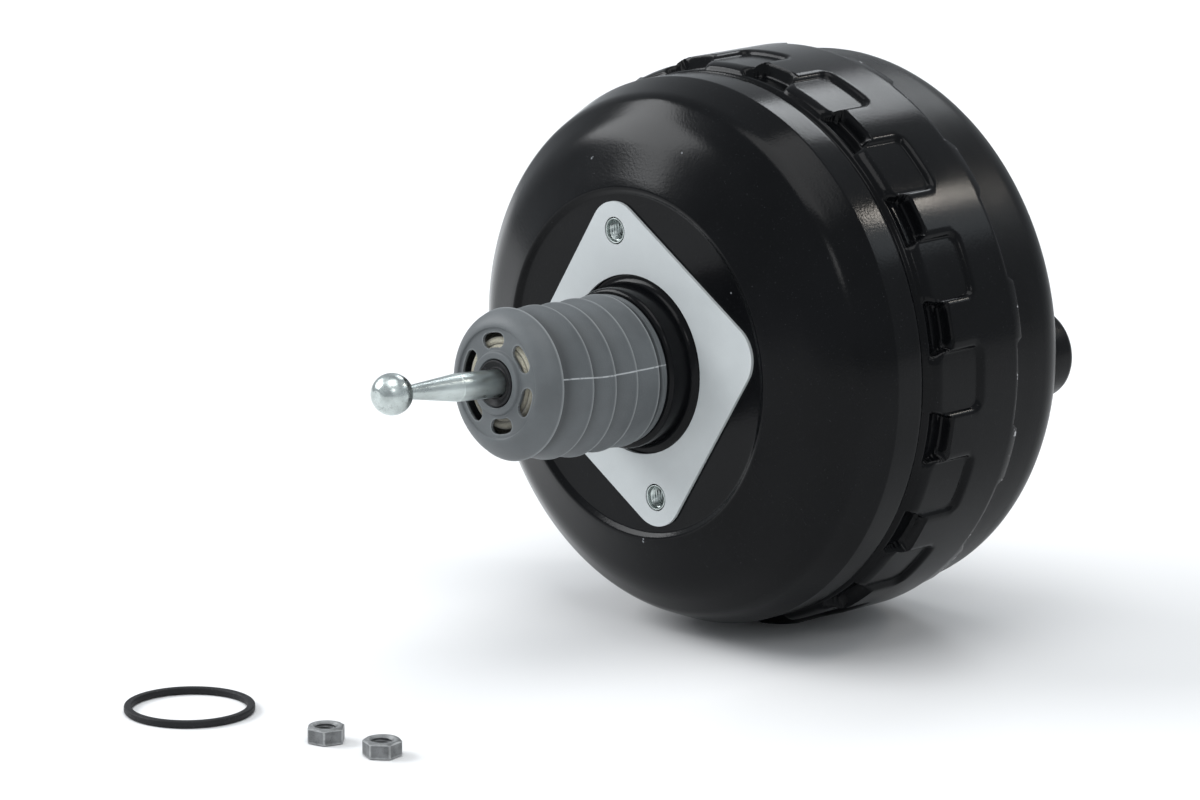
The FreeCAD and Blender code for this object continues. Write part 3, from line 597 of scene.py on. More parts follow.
def rear_profile():
    """Outside of the neck and the dome as (r, y) points, from the neck's end to the side's flat shelf."""
    corners = [
        (31.0, NECK_END_Y), (31.0, -13.0, 1.6), (36.0, -13.0, 2.4), (36.0, 1.5, 3.6), (76.0, 1.5, 1.8),
        (78.8, -0.4, 2.2), (104.0, 10.0, 45.0), (117.5, 21.5, 14.0), (122.0, 33.0, 2.0), (123.9, 38.0, 3.0),
        (124.0, 50.4)]
    return divided(outline(corners, 6), 4.0)


def side_radius(u, y, sizes):
    """Radius of the shell's side at a distance u round it from a window's middle, at y along it.

    A groove, a low ring and a valley lead to the foot of the band. From there the side climbs to its
    top: steeply between the windows, where the climb is 3t^2 - 2t^3 over 1.9 mm, and further forward and
    rounder at a window, a quarter of an ellipse over 5.7 mm. The top is the band, or in a window its
    floor; the wall between the two rises as 1 - (1 - t)^2.2 with the distance from the floor's edge.
    """
    band = sizes.band_radius / MM
    half = sizes.window_width / MM / 2
    groove = 1.4 * np.exp(-((y - GROOVE_Y) / 1.1) ** 2)
    ring = 0.5 * np.exp(-((y - RING_Y) / 1.1) ** 2)
    valley = band - 6.0 - groove + ring - 0.4 * smooth(y, 58.6, 61.0)
    u = u + WINDOW_SHIFT
    t = np.clip(box_distance(u, y, half, -60.0, WINDOW_END_Y, WINDOW_CORNER_R) / WINDOW_WALL, 0.0, 1.0)
    wall = (1.0 - (1.0 - t) ** 2.2) * smooth(t, -0.02, 0.16)
    top = band - sizes.window_depth / MM * (1.0 - wall)
    window = 1.0 - smooth(np.abs(u), half - 1.6, half + 3.6)
    start = 66.7 - 9.7 * window
    length = 1.9 + 3.8 * window
    round_climb = window * quarter_round(y, start, start + length)
    climb = round_climb + (1.0 - window) * smooth(y, start, start + length)
    return valley + (top - valley) * climb


def opened_at(points, faces, centre, radius):
    """Opens a round hole through a grid that faces -Y.

    Points nearer to the centre than the radius move out to it, and faces that lay wholly inside go.
    """
    flat = points.reshape(-1, 3)
    x = flat[:, 0] - centre[0]
    z = flat[:, 2] - centre[1]
    away = np.hypot(x, z)
    inside = (away < radius) & (flat[:, 1] < 12.0)
    kept = ~inside[faces].all(axis=1)
    scale = np.where(inside, radius / np.maximum(away, 1e-6), 1.0)
    flat[:, 0] = centre[0] + x * scale
    flat[:, 2] = centre[1] + z * scale
    return flat.reshape(points.shape), faces[kept]


def bolt_centres():
    """(x, z) of the two bolt axes."""
    tilt = math.radians(BOLT_TILT)
    return [(s * BOLT_RING_R * math.sin(tilt), s * BOLT_RING_R * math.cos(tilt)) for s in (1, -1)]


def build_rear_shell(sizes):
    """The pressed shell as one grid: dome rows, fine rows over the windows, the tabbed rim and the inside."""
    band = sizes.band_radius / MM
    count = sizes.window_count
    pitch = 2 * math.pi * band / count
    edge = sizes.window_width / MM / 2 + 0.7
    u = crowded(-pitch / 2, pitch / 2, 33, (-edge - WINDOW_SHIFT, edge - WINDOW_SHIFT), 1.3, 5.0)[:-1]
    middle = np.arange(count)[:, None] * 2 * math.pi / count + math.radians(-0.6)
    angles = (middle + u[None] / band).ravel()
    front = rear_profile()
    y = crowded(51.0, 89.0, 80, (GROOVE_Y, 57.3, 60.0, 63.0, 65.6, 67.6, 84.8), 1.5, 3.0)[:, None]
    turn = (np.degrees(angles) - BOLT_TILT + TAB_SPACING / 2) % TAB_SPACING - TAB_SPACING / 2
    tab = 3.0 * (1.0 - smooth(np.abs(turn), 5.7, 6.6))
    inner = band - SHEET
    sheet_y = 2 * SHEET
    bolt_rows = [(r, sheet_y) for r in (66.0, 63.0, 60.0, 57.0, 54.0)]
    plain = [(band, 98.0), (band, BAND_TOP_Y)]
    lip = [(band, 108.6), (band - 0.25, 109.0), (band - 1.35, 109.0), (inner, 108.6)]
    inside = [(inner, 104.0), (inner, 88.0), (band - 5.0, 86.0), (band - 8.0, 58.0), (121.0, 40.0),
              (116.0, 25.2), (102.0, 12.0), (79.0, sheet_y), *bolt_rows, (38.0, sheet_y), (34.4, 0.0),
              (34.4, -11.2), (29.4, -11.6), (29.4, NECK_END_Y)]
    rim = [around(np.full((1, 1), r), y_row + in_lip * tab[None], angles)
           for rows, in_lip in ((plain, 0), (lip, 1), (inside, 0)) for r, y_row in rows]
    side = around(side_radius(np.tile(u, count)[None], y, sizes), y, angles)
    points = np.concatenate([around(front[:, :1], front[:, 1:2], angles), side, *rim])
    rim_mark = np.zeros(points.shape[:2])
    first = len(front) + len(y) + len(plain)
    rim_mark[first:first + len(lip)] = 1.0
    faces = grid_faces(points.shape[0], points.shape[1], True)
    for centre in bolt_centres():
        points, faces = opened_at(points, faces, centre, 5.9)
    make_piece("rear_shell_pressing", points, faces, "rear_shell_black", "housing", "rear_shell",
               marks={"rim": rim_mark}, sharp=50.0, holes=True)


# Front shell, its port boss and the rubber grommet
BOSS_CENTRE = (95.0, -4.5)


def front_cup_corners():
    """The cup from its edge inside the band over the flat face to the pilot's floor, and back inside."""
    outer = [(128.2, 93.2), (128.2, 110.6, 1.2), (125.2, 113.2, 2.0), (125.0, FACE_Y, 20.0),
             (28.5, FACE_Y, 1.0), (28.5, 143.0, 1.6), (16.0, 143.0)]
    inner = [(16.0, 144.6), (26.9, 144.6), (26.9, 150.4), (123.4, 150.4, 18.5), (123.5, 114.0, 1.5),
             (126.6, 111.4, 1.0), (126.6, 93.2)]
    return outer + inner


def boss_corners():
    """The boss of the vacuum connection: its wall and the flange that holds the grommet."""
    return [(20.5, 116.0), (20.5, 164.0, 4.0), (11.0, 164.0, 0.5), (11.0, 162.4), (18.9, 162.4, 2.4),
            (18.9, 116.0)]


def grommet_corners():
    """The grommet: its lip inside the flange, its neck through it and its collar outside."""
    return [(8.0, 157.9), (12.5, 157.9), (14.0, 160.4), (14.0, 162.4), (11.0, 162.4), (11.0, 164.0),
            (14.4, 164.0), (14.4, 166.6, 1.2), (8.6, 167.2, 0.5), (8.0, 166.4)]


# Bolts: tapped collars at the bulkhead, studs at the master cylinder
BOLT_THREAD_DEPTH = 0.75
STUD_END_Y = 178.0


def threaded(points, y0, y1):
    """Cuts a thread into a turned surface from y0 to y1, fading over one pitch at its ends.

    The radius falls by depth * |2 frac(y / pitch - t / 2 pi) - 1|.
    """
    out = points.copy()
    radius = np.hypot(points[..., 0], points[..., 2])
    turn = np.arctan2(points[..., 0], points[..., 2]) / (2 * math.pi)
    y = points[..., 1]
    cut = BOLT_THREAD_DEPTH * np.abs(2.0 * ((y / THREAD_PITCH - turn) % 1.0) - 1.0)
    fade = smooth(y, y0, y0 + THREAD_PITCH) * (1.0 - smooth(y, y1 - THREAD_PITCH, y1))
    scale = 1.0 - cut * fade / np.maximum(radius, 1e-6)
    out[..., 0] *= scale
    out[..., 2] *= scale
    return out


def build_tie_bolt(index, centre):
    """One through bolt as one turned surface: tapped bore, collar, flange, shank and stud."""
    bore = np.stack([np.full(60, THREAD_R), np.linspace(16.0, 0.9, 60)], axis=1)
    middle = outline([(THREAD_R, 0.9), (5.2, 0.1, 0.1), (5.6, 0.1, 0.1), (5.6, 4.6), (10.0, 4.6),
                      (10.0, 9.0, 0.8), (7.0, 9.0), (7.0, 17.6), (5.5, 19.1), (5.5, 145.0), (9.0, 145.6),
                      (9.0, 150.4), (5.5, 150.4), (5.5, FACE_Y), (THREAD_R, 152.2)], 3)
    stud = np.stack([np.full(140, THREAD_R), np.linspace(152.4, 177.2, 140)], axis=1)
    line = np.concatenate([[(0.0, 16.0)], bore, middle, stud, [(4.2, STUD_END_Y), (0.0, STUD_END_Y)]])
    points = threaded(turned(line, 40), 153.0, 177.0)
    bore_rows = slice(1, 1 + len(bore))
    points[bore_rows] = threaded(points[bore_rows], 0.9, 40.0)
    points = points + np.array([centre[0], 0.0, centre[1]])
    make_piece(f"through_bolt_{index}", points, grid_faces(len(line), 40, False), "zinc_steel", "housing",
               "tie_bolts", sharp=40.0)


# Dust boot
BOOT_RIBS = [-6.3, 7.0, 20.2, 33.8, 51.6]
PARTING_ANGLE = math.radians(90.0 + BOLT_TILT)
COLLAR_Y = -13.4
SLOT_RING_R = 18.9
SLOT_HALF_WIDTH = 3.3
SLOT_HALF_TURN = 10.0


def rib_radius(s, crest):
    """Radius of the bellows at station s from the socket.

    From each rib towards the nose the wall sags as t^1.6, and it rises steeply again to the next
    rib. The rib itself is a narrow bead, exp(-(distance / 0.5)^2). A groove parts the collar's bead.
    """
    ribs = np.array(BOOT_RIBS)
    k = np.clip(np.searchsorted(ribs, s, side="right") - 1, 0, len(ribs) - 2)
    t = np.clip((s - ribs[k]) / (ribs[k + 1] - ribs[k]), 0.0, 1.0)
    depth = np.array([1.1, 2.4, 2.7, 2.7])[k]
    sag = (t / 0.88) ** 1.6 * (1.0 - smooth(t, 0.87, 0.99))
    radius = crest - depth * sag - 0.7 * smooth(s, ribs[2], ribs[-1])
    nearest = np.abs(s[..., None] - ribs).min(axis=-1)
    radius = radius + 0.3 * np.exp(-(nearest / 0.5) ** 2)
    collar = crest - 0.5 - 2.4 * smooth(-s, -ribs[0], 0.5 - ribs[0]) * (1.0 - smooth(-s, 8.2, 8.9))
    collar = collar - 0.5 * np.exp(-((s + 10.2) / 0.25) ** 2)
    return np.where(s < ribs[0], collar, radius)


def boot_lean(s):
    """Lean of the boot at station s: 3t^2 - 2t^3 of the rod's own lean from the neck to the nose."""
    return -ROD_TILT * smooth(s, PIVOT_Y - COLLAR_Y, 48.0)


def sagged(points, s):
    """Points let down by the boot's own weight: 1.1 mm between the second rib and the nose."""
    drop = 1.1 * smooth(s, 4.0, 32.0) * (1.0 - smooth(s, 50.0, 60.0))
    return points - drop * np.array([0.0, 0.0, 1.0])


def parting_mark(angles):
    """1 along the mould's parting line, 0 elsewhere."""
    away = np.abs((angles - PARTING_ANGLE + math.pi) % (2 * math.pi) - math.pi)
    return 1.0 - smooth(away, 0.006, 0.012)


def boot_angles(count):
    """Columns round the boot, crowding at the parting line."""
    start = PARTING_ANGLE - math.pi
    return crowded(start, start + 2 * math.pi, count + 1, (PARTING_ANGLE,), 0.02, 12.0)[:-1]


def boot_marks(nearest, sunk, parting, outer):
    """Marks of the boot's material by rows: painted highlight on the ribs, painted shade in the folds, and
    the parting line.
    """
    # Painted highlight along each rib's crest
    rib = np.where(outer, np.exp(-(nearest / 0.45) ** 2), 0.0)
    # Painted shade in the folds, darker where the wall sags deeper below the crest
    painted_fold_shade = np.where(outer, np.clip((sunk - 0.6) / 2.0, 0, 1) ** 2, 0.0)
    spread = np.ones_like(parting)
    return {"rib": rib[:, None] * spread, "valley": painted_fold_shade[:, None] * spread, "parting": parting}


def build_boot_sleeve(sizes):
    """The bellows from its collar on the neck to just inside the nose's last rib."""
    crest = sizes.boot_crest / MM
    angles = boot_angles(224)
    start = PIVOT_Y - COLLAR_Y
    s = crowded(start, BOOT_RIBS[3] + 0.6, 170, BOOT_RIBS[:-1] + [start + 3.2, start + 1.4], 1.0, 3.0)
    outside = rib_radius(s, crest)
    back = np.linspace(s[-1], start, 24)
    inside = np.interp(back, s, outside) - 2.6
    stations = np.concatenate([s, back])
    radii = np.concatenate([outside, np.minimum(inside, crest - 3.4)])
    points = around(radii[:, None], (PIVOT_Y - stations)[:, None], angles)
    points = sagged(leaned(points, boot_lean(stations)[:, None]), stations[:, None, None])
    nearest = np.abs(stations[:, None] - np.array(BOOT_RIBS)).min(axis=1)
    parting = np.repeat(parting_mark(angles)[None], len(stations), axis=0)
    marks = boot_marks(nearest, crest - radii, parting, np.arange(len(stations)) < len(s))
    faces = grid_faces(len(stations), len(angles), True)
    piece = make_piece("dust_boot_sleeve", points, faces, "boot_rubber", "housing", "dust_boot",
                       marks=marks, sharp=60.0)
    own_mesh(piece)


def slot_distance(x, z):
    """Signed distance to the nearest of six kidney slots: round-ended arcs at one radius."""
    radius = np.hypot(x, z)
    turn = np.degrees(np.arctan2(x, z)) - BOLT_TILT
    turn = (turn + 30.0) % 60.0 - 30.0
    beyond = np.radians(np.maximum(np.abs(turn) - SLOT_HALF_TURN, 0.0)) * SLOT_RING_R
    return np.hypot(radius - SLOT_RING_R, beyond) - SLOT_HALF_WIDTH


def build_boot_nose(sizes):
    """The front of the boot: the last fold, the round nose and the sunk face with its slots."""
    crest = sizes.boot_crest / MM
    angles = boot_angles(300)
    first = BOOT_RIBS[3] - 0.4
    s = crowded(first, BOOT_RIBS[-1], 48, BOOT_RIBS[-2:], 1.2, 3.0)
    fold = np.stack([rib_radius(s, crest), s], axis=1)
    t = np.linspace(0.06, 1.0, 16) * math.pi / 2
    dome_r = 25.0 + (crest - 25.7) * np.cos(t) ** 1.35
    dome = np.stack([dome_r, BOOT_RIBS[-1] + 8.4 * np.sin(t) ** 1.35], axis=1)
    sunk = outline([(25.0, 60.0), (24.4, 60.0, 0.4), (24.0, 59.2, 0.3), (14.3, 59.2, 0.4), (13.7, 60.9, 0.7),
                    (10.9, 60.9, 0.4), (10.3, 59.4)], 3)
    inside = divided(np.array([(10.3, 57.9), (22.4, 57.9), (30.4, 53.0), (30.8, 50.0), (30.4, first)]), 0.9)
    line = np.concatenate([fold, dome, divided(sunk, 0.55), inside])
    station = line[:, 1]
    straight = around(line[:, :1], PIVOT_Y - station[:, None], angles)
    faces = grid_faces(len(line), len(angles), True)
    flat = straight.reshape(-1, 3).copy()
    distance = slot_distance(flat[:, 0], flat[:, 2])
    on_face = flat[:, 1] < PIVOT_Y - 57.5
    inside_slot = (distance < 0) & on_face
    kept = ~inside_slot[faces].all(axis=1)
    step = 0.01
    gx = (slot_distance(flat[:, 0] + step, flat[:, 2]) - distance) / step
    gz = (slot_distance(flat[:, 0], flat[:, 2] + step) - distance) / step
    pull = np.where(inside_slot, -distance, 0.0)
    flat[:, 0] += gx * pull
    flat[:, 2] += gz * pull
    bend = leaned(straight, boot_lean(station)[:, None])
    in_fold = (station < 50.0)[:, None, None]
    points = sagged(np.where(in_fold, bend, leaned(flat.reshape(straight.shape))), station[:, None, None])
    nearest = np.abs(line[:, 1:2] - np.array(BOOT_RIBS)).min(axis=1)
    parting = np.outer(station < BOOT_RIBS[-1], parting_mark(angles)) * 1.0
    marks = boot_marks(nearest, crest - line[:, 0], parting, np.arange(len(line)) < len(fold) + 2)
    # Painted highlight round the edge of each slot, carried in the rib mark
    lip = np.exp(-(np.abs(distance) / 0.4) ** 2) * on_face * 0.8
    marks["rib"] = np.maximum(marks["rib"], lip.reshape(len(line), -1))
    piece = make_piece("dust_boot_nose", points, faces[kept], "boot_rubber", None, "dust_boot",
                       marks=marks, sharp=50.0, holes=True)
    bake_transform(piece)


def build_filter():
    """The felt behind the slots: three rolled layers whose face is 0.9 |sin(pi (r - 10.6) / 3.2)| high."""
    hole, edge, face = 10.6, 20.2, 56.0
    r = np.linspace(hole, edge, 60)
    lap = np.abs(np.sin(math.pi * (r - hole) / 3.2))
    front = np.stack([r, face + 0.9 * lap], axis=1)
    rest = divided(np.array([(edge, face), (20.4, 55.4), (20.4, 47.2), (26.6, 47.0), (26.6, 42.8),
                             (hole, 42.8), (hole, face)]), 2.0)[1:-1]
    line = np.concatenate([front, rest])
    angles = np.linspace(0, 2 * math.pi, 144, endpoint=False)
    points = leaned(around(line[:, :1], PIVOT_Y - line[:, 1:2], angles))
    # Painted shade: dark in the creases between the layers and over the sides and back
    painted_layer_shade = np.concatenate([(1.0 - smooth(lap, 0.0, 0.45)) * 0.8, np.full(len(rest), 0.8)])
    painted_layer_shade = np.repeat(painted_layer_shade[:, None], len(angles), axis=1)
    piece = make_piece("air_filter_felt", points, grid_faces(len(line), len(angles), True), "filter_felt",
                       "pedal_rod", "air_filter", marks={"painted_layer_shade": painted_layer_shade}, sharp=60.0)
    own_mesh(piece)


def build_hub_ring():
    """The black hub that holds the rod in the boot: a rounded rim and a cone falling inwards to the rod."""
    corners = [(10.2, 57.6), (10.2, 60.9, 0.4), (9.7, 61.2, 0.3), (9.2, 60.8, 0.5), (7.3, 59.6, 0.5),
               (6.5, 60.2, 0.2), (6.35, 59.6), (6.35, 55.6), (10.2, 55.6)]
    line = divided(outline([(r, PIVOT_Y - s, *more) for r, s, *more in corners], 4, closed=True), 1.5)
    make_piece("boot_hub", leaned(turned(line, 96)), grid_faces(len(line), 96, True), "black_rubber",
               "pedal_rod", "boot_hub_ring", sharp=40.0)


# Pedal rod
BALL_STATION = 121.4


def rod_corners():
    """Neck, stem, the ring groove and the taper of the rod as (r, station) corners."""
    return [(0.0, 0.0), (3.6, 0.0), (3.6, 10.0), (6.2, 18.0, 2.0), (6.2, 83.8, 0.6), (6.05, 84.1, 0.4),
            (6.0, 85.2, 1.0), (3.0, 111.8, 2.0), (3.0, BALL_STATION), (0.0, BALL_STATION)]


def rod_piece(name, line, look):
    """A line of (r, y) points turned about the rod and leaned with it."""
    make_piece(name, leaned(turned(line, 96)), grid_faces(len(line), 96, False), look, "pedal_rod",
               "pedal_rod", sharp=30.0)


def build_pedal_rod(sizes):
    """The rod and the balls at its ends."""
    line = divided(outline(rod_corners(), 4), 4.0)
    line[:, 1] = PIVOT_Y - line[:, 1]
    rod_piece("pedal_rod_stem", line, "rod_steel")
    build_ball("pedal_rod_ball", sizes.ball_radius / MM, BALL_STATION, "ball_steel", 0.35)
    build_ball("pedal_rod_socket_ball", 5.5, 0.0, "rod_steel", 0.0)


def build_ball(name, radius, station, look, flat):
    """A ball about a station of the rod, (R sin p, -R cos p) turned about it, its pole cut flat."""
    p = np.linspace(0.0, math.pi, 49)
    along = np.maximum(-radius * np.cos(p), -radius + flat)
    rod_piece(name, np.stack([radius * np.sin(p), PIVOT_Y - station + along], axis=1), look)


# Springs wound from wire
def build_spring(name, body, radii, ends, turns, wire):
    """A wire wound about Y: a tube round (R cos t, y, -R sin t), whose R and y change evenly with t.

    The tube's ring at t is spanned by the outward direction and by the cross product of the
    helix's direction with it. Each end closes to a point on the helix.
    """
    rows = int(turns * 40) + 1
    sides = 16
    t = np.linspace(0.0, 2 * math.pi * turns, rows)
    share = np.linspace(0.0, 1.0, rows)
    r = radii[0] + (radii[1] - radii[0]) * share
    y = ends[0] + (ends[1] - ends[0]) * share
    centre = np.stack([r * np.cos(t), y, -r * np.sin(t)], axis=1)
    out = np.stack([np.cos(t), np.zeros(rows), -np.sin(t)], axis=1)
    across = np.cross(np.gradient(centre, axis=0), out)
    across /= np.linalg.norm(across, axis=1)[:, None]
    a = np.linspace(0.0, 2 * math.pi, sides, endpoint=False)[None, :, None]
    tube = centre[:, None] + wire * (np.cos(a) * out[:, None] + np.sin(a) * across[:, None])
    cap = np.ones((1, sides, 1))
    points = np.concatenate([centre[0] * cap, tube, centre[-1] * cap])
    faces = grid_faces(rows + 2, sides, False)
    piece = make_piece(name, points, faces, "spring_steel", body, name, sharp=60.0)
    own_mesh(piece)


# Loose fixings
RING_CENTRE = (-62.0, -209.0)
RING_BORE_R = 24.95
RING_OUTER_R = 28.35
RING_HEIGHT = 3.1
NUT_PLACES = ((14.0, -198.0, 12.0), (46.0, -195.0, 40.0))
NUT_HALF_FLATS = 7.5
NUT_HEIGHT = 7.1
NUT_MOUTH_R = 5.75
NUT_THREAD_DEPTH = 0.78


def build_seal_ring():
    """The seal ring: a rounded square section swept about its own upright axis, a little out of round."""
    corners = [(RING_BORE_R, 0.0), (RING_OUTER_R, 0.0), (RING_OUTER_R, RING_HEIGHT),
               (RING_BORE_R, RING_HEIGHT)]
    section = outline([(r, z, 0.9) for r, z in corners], 5, closed=True)
    angles = np.linspace(0, 2 * math.pi, 224, endpoint=False)
    r = section[:, :1] + 0.12 * np.sin(2 * angles)[None] - 0.12
    z = np.broadcast_to(section[:, 1:2], r.shape)
    x, y = RING_CENTRE
    points = np.stack([x + r * np.cos(angles), y + r * np.sin(angles), FLOOR_Z + z], axis=-1)
    make_piece("seal_ring", points, grid_faces(len(section), len(angles), True), "black_rubber", "housing",
               "master_cylinder_seal")


def build_nut(index, x, y, turn):
    """A hexagon nut as one grid round its hole: up its outside, over the chamfer and down the threaded bore.

    The hexagon's radius at an angle a from the middle of a flat is half the flats over cos(a).
    """
    angles = np.linspace(0, 2 * math.pi, 144, endpoint=False)
    from_flat = (angles + math.radians(30)) % math.radians(60) - math.radians(30)
    from_corner = np.abs(np.abs(from_flat) - math.radians(30))
    hexagon = NUT_HALF_FLATS / np.cos(from_flat) - 0.16 * (1.0 - smooth(from_corner, 0.0, 0.05))
    sides = [(hexagon, z) for z in (0.25, 1.2, 3.0, 5.0, 5.9)]
    chamfer = [(np.minimum(hexagon, cone), NUT_HEIGHT - (cone - 7.1) * 0.62)
               for cone in np.linspace(8.72, 7.1, 9)]
    mouth = [(NUT_MOUTH_R, NUT_HEIGHT)]
    bore = [(THREAD_R, z) for z in np.linspace(NUT_HEIGHT - 0.75, 0.75, 44)]
    foot = [(NUT_MOUTH_R, 0.0), (np.minimum(hexagon, 7.3), 0.0)]
    rows = sides + chamfer + mouth + bore + foot
    r = np.array([row[0] * np.ones(len(angles)) for row in rows])
    z = np.array([row[1] * np.ones(len(angles)) for row in rows])
    cone_rows = slice(len(sides), len(sides) + len(chamfer))
    mouth_row = cone_rows.stop
    bore_rows = slice(mouth_row + 1, mouth_row + 1 + len(bore))
    phase = (z[bore_rows] / THREAD_PITCH - angles / (2 * math.pi)) % 1.0
    r[bore_rows] -= NUT_THREAD_DEPTH * np.abs(2 * phase - 1.0)
    worn = np.zeros_like(r)
    worn[:len(sides)] = (1.0 - smooth(from_corner, 0.02, 0.07)) * 0.8
    worn[0] = 0.7
    worn[cone_rows] = np.where(hexagon[None] > r[cone_rows] + 1e-6, 0.15, 0.75)
    worn[mouth_row] = 0.6
    heading = math.radians(turn + 30.0)
    around_z = angles + heading
    points = np.stack([x + r * np.cos(around_z), y + r * np.sin(around_z), FLOOR_Z + z], axis=-1)
    make_piece(f"stud_nut_{index}", points, grid_faces(len(rows), len(angles), True), "phosphated_steel",
               "housing", "master_cylinder_nuts", marks={"worn": worn}, sharp=28.0)


# Operators
class BoosterOperator:
    """What the operators share."""

    bl_options = {"REGISTER", "UNDO"}

    @staticmethod
    def sizes():
        return bpy.context.scene.booster_sizes


class BOOSTER_OT_rear_shell(BoosterOperator, bpy.types.Operator):
    """Presses the rear shell with its neck, dome, windows and tabbed rim"""

    bl_idname = "booster.rear_shell"
    bl_label = "Rear shell"

    def execute(self, context):
        build_rear_shell(self.sizes())
        return {"FINISHED"}


class BOOSTER_OT_front_shell(BoosterOperator, bpy.types.Operator):
    """Turns the front cup, its port boss and the grommet"""

    bl_idname = "booster.front_shell"
    bl_label = "Front shell"

    def execute(self, context):
        turned_piece("front_shell_cup", front_cup_corners(), 320, "shell_black", "front_shell", steps=12)
        turned_piece("front_shell_boss", boss_corners(), 96, "shell_black", "front_shell", BOSS_CENTRE)
        turned_piece("port_grommet", grommet_corners(), 72, "black_rubber", "vacuum_grommet", BOSS_CENTRE)
        return {"FINISHED"}


class BOOSTER_OT_bolts(BoosterOperator, bpy.types.Operator):
    """Turns and threads the through bolts"""

    bl_idname = "booster.bolts"
    bl_label = "Through bolts"

    def execute(self, context):
        for index, centre in enumerate(bolt_centres(), 1):
            build_tie_bolt(index, centre)
        return {"FINISHED"}


class BOOSTER_OT_dust_boot(BoosterOperator, bpy.types.Operator):
    """Forms the bellows and the slotted nose of the dust boot, its felt and its hub"""

    bl_idname = "booster.dust_boot"
    bl_label = "Dust boot"

    def execute(self, context):
        build_boot_sleeve(self.sizes())
        build_boot_nose(self.sizes())
        build_filter()
        build_hub_ring()
        return {"FINISHED"}


class BOOSTER_OT_pedal_rod(BoosterOperator, bpy.types.Operator):
    """Turns the pedal rod and its balls"""

    bl_idname = "booster.pedal_rod"
    bl_label = "Pedal rod"

    def execute(self, context):
        build_pedal_rod(self.sizes())
        return {"FINISHED"}


class BOOSTER_OT_fixings(BoosterOperator, bpy.types.Operator):
    """Winds the two long springs and lays out the seal ring and the two nuts"""

    bl_idname = "booster.fixings"
    bl_label = "Springs and loose fixings"

    def execute(self, context):
        build_seal_ring()
        build_spring("return_spring", "housing", (41.5, 41.5), (32.65, 148.15), 4.5, 2.1)
        build_spring("rod_return_spring", "power_piston", (11.8, 15.5), (-51.9, -32.9),
                     3.0, 0.9)
        for index, place in enumerate(NUT_PLACES, 1):
            build_nut(index, *place)
        return {"FINISHED"}


class BOOSTER_OT_finishes(BoosterOperator, bpy.types.Operator):
    """Gives every solid of the frame that stays in view the finish of its slot"""

    bl_idname = "booster.finishes"
    bl_label = "Finishes of the frame's solids"

    def execute(self, context):
        for part in frame["record"]["subparts"]:
            node = frame["nodes"][part["node"]]
            node.data.materials.clear()
            node.data.materials.append(finish(part["material_slot"]))
        return {"FINISHED"}


class BOOSTER_OT_stage(BoosterOperator, bpy.types.Operator):
    """Sets the pale floor, the soft lights and the camera"""

    bl_idname = "booster.stage"
    bl_label = "Stage"

    def execute(self, context):
        add_floor(self.sizes().floor_size / 2)
        add_lights()
        add_camera()
        return {"FINISHED"}


def add_floor(half):
    """A square floor in the plane that the booster lies on."""
    z = FLOOR_Z * MM - 0.0002
    corners = [(-half, -half, z), (half, -half, z), (half, half, z), (-half, half, z)]
    mesh = bpy.data.meshes.new("floor")
    mesh.from_pydata(corners, [], [(0, 1, 2, 3)])
    colour = list(bpy.context.scene.booster_finishes.floor)
    look = Look("studio_floor")
    look.feed("Base Color", look.mixed(look.noise(3.0, 3.0), shade(colour, 0.99), colour))
    look.fix(Roughness=0.9, Specular_IOR_Level=0.1)
    mesh.materials.append(look.material)
    floor = bpy.data.objects.new("floor", mesh)
    bpy.context.scene.collection.objects.link(floor)


def add_area_light(name, place, target, size, power, colour):
    """A square softbox at a place, facing a target, in metres and watts."""
    light = bpy.data.lights.new(name, "AREA")
    light.shape = "RECTANGLE"
    light.size, light.size_y = size
    light.energy = power
    light.color = colour
    lamp = bpy.data.objects.new(name, light)
    lamp.location = place
    lamp.rotation_euler = (Vector(target) - Vector(place)).to_track_quat("-Z", "Y").to_euler()
    bpy.context.scene.collection.objects.link(lamp)


# Softboxes: name, place, target, size, watts and colour
LIGHTS = (
    ("left_softbox", (-2.5, -1.5, 1.95), (0, 0, 0), (2.3, 1.6), 88.0, (0.97, 0.985, 1.0)),
    ("back_spot", (1.05, 1.96, 1.58), (0.10, 0.09, 0.07), (0.19, 0.19), 3.9, (1.0, 0.93, 0.84)),
    ("back_softbox", (1.30, 1.90, 1.35), (0.10, 0.09, 0.07), (0.6, 0.5), 1.9, (0.86, 0.94, 1.0)),
    ("rear_left_softbox", (-0.75, 2.1, 1.95), (0.05, 0.12, 0.1), (0.9, 0.6), 10.5, (0.93, 0.97, 1.0)),
    ("right_softbox", (2.0, -1.3, 1.6), (0.1, 0.05, 0), (0.6, 0.6), 5.0, (1.0, 1.0, 1.0)),
    ("overhead", (0.9, -0.6, 4.4), (0, -0.2, 0), (3.2, 3.2), 84.0, (1.0, 1.0, 1.0)),
)


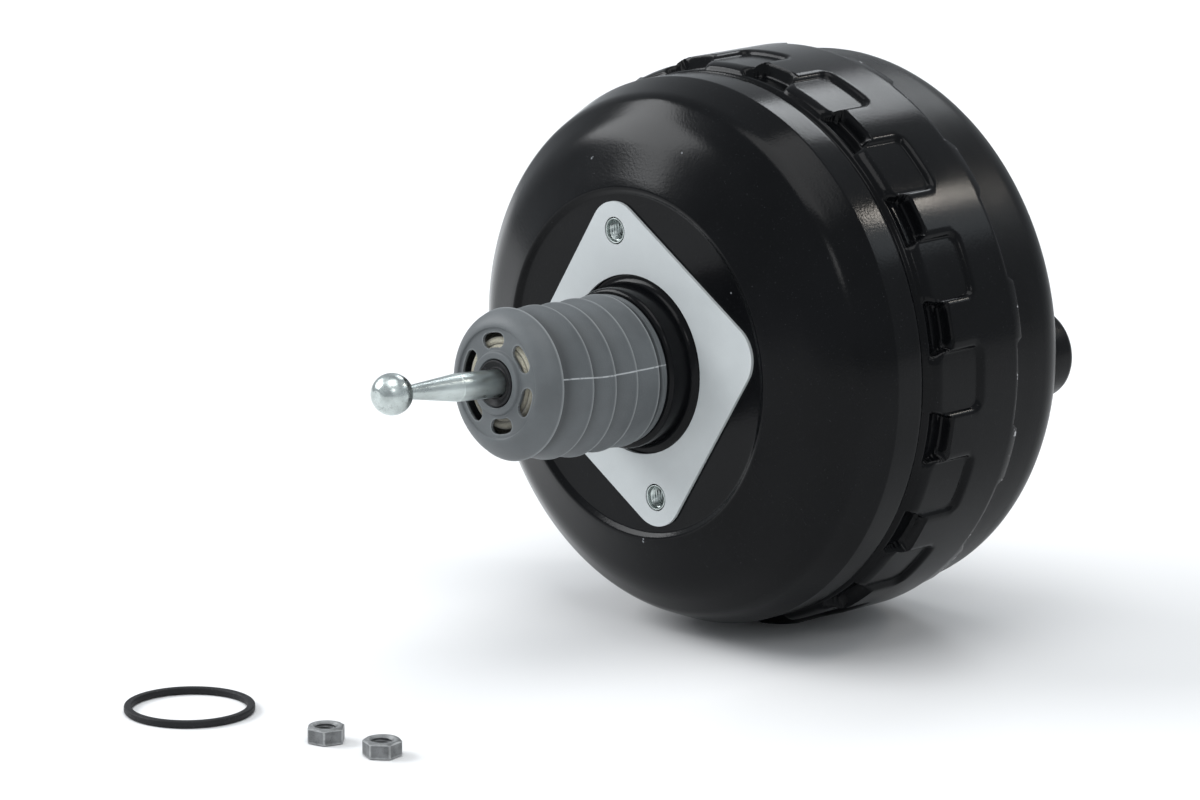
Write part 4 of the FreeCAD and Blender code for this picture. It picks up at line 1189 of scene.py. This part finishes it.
def add_lights():
    """A broad softbox high at the left, small bright ones behind, a fill at the right and a pale surround."""
    for light in LIGHTS:
        add_area_light(*light)
    world = bpy.data.worlds.new("surround")
    world.use_nodes = True
    background = world.node_tree.nodes["Background"]
    background.inputs["Color"].default_value = (0.90, 0.95, 1.0, 1.0)
    background.inputs["Strength"].default_value = 0.60
    bpy.context.scene.world = world
    bpy.context.scene.view_settings.view_transform = "Standard"


def add_camera():
    """The camera of the photograph: azimuth 45.6 degrees, elevation 13.2, through a long lens."""
    right = Vector((0.6997, 0.7144, 0.0))
    up = Vector((-0.1632, 0.1598, 0.9736))
    back = Vector((0.6955, -0.6812, 0.2284))
    camera = bpy.data.cameras.new("camera")
    camera.lens = 180.0
    camera.sensor_width = 36.0
    camera.clip_end = 60.0
    viewer = bpy.data.objects.new("camera", camera)
    turn = Matrix((right, up, back)).transposed().to_4x4()
    viewer.matrix_world = Matrix.Translation((1.8418, -1.8256, 0.5921)) @ turn
    bpy.context.scene.collection.objects.link(viewer)
    bpy.context.scene.camera = viewer


class BOOSTER_PT_panel(bpy.types.Panel):
    """Sizes, finishes and steps of the booster"""

    bl_label = "Brake booster"
    bl_idname = "BOOSTER_PT_panel"
    bl_space_type = "VIEW_3D"
    bl_region_type = "UI"
    bl_category = "Booster"

    def draw(self, context):
        for group in (context.scene.booster_sizes, context.scene.booster_finishes):
            for key in group.__annotations__:
                self.layout.prop(group, key)
        for step in STEPS:
            self.layout.operator(step.bl_idname)


STEPS = (BOOSTER_OT_finishes, BOOSTER_OT_rear_shell, BOOSTER_OT_front_shell, BOOSTER_OT_bolts,
         BOOSTER_OT_dust_boot, BOOSTER_OT_pedal_rod, BOOSTER_OT_fixings, BOOSTER_OT_stage)
CLASSES = (BoosterSizes, BoosterFinishes) + STEPS + (BOOSTER_PT_panel,)


def register():
    for item in CLASSES:
        bpy.utils.register_class(item)
    bpy.types.Scene.booster_sizes = PointerProperty(type=BoosterSizes)
    bpy.types.Scene.booster_finishes = PointerProperty(type=BoosterFinishes)


def unregister():
    del bpy.types.Scene.booster_finishes
    del bpy.types.Scene.booster_sizes
    for item in reversed(CLASSES):
        bpy.utils.unregister_class(item)


def main():
    """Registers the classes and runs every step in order."""
    register()
    for step in STEPS:
        group, name = step.bl_idname.split(".")
        getattr(getattr(bpy.ops, group), name)()


if __name__ == "__main__":
    main()
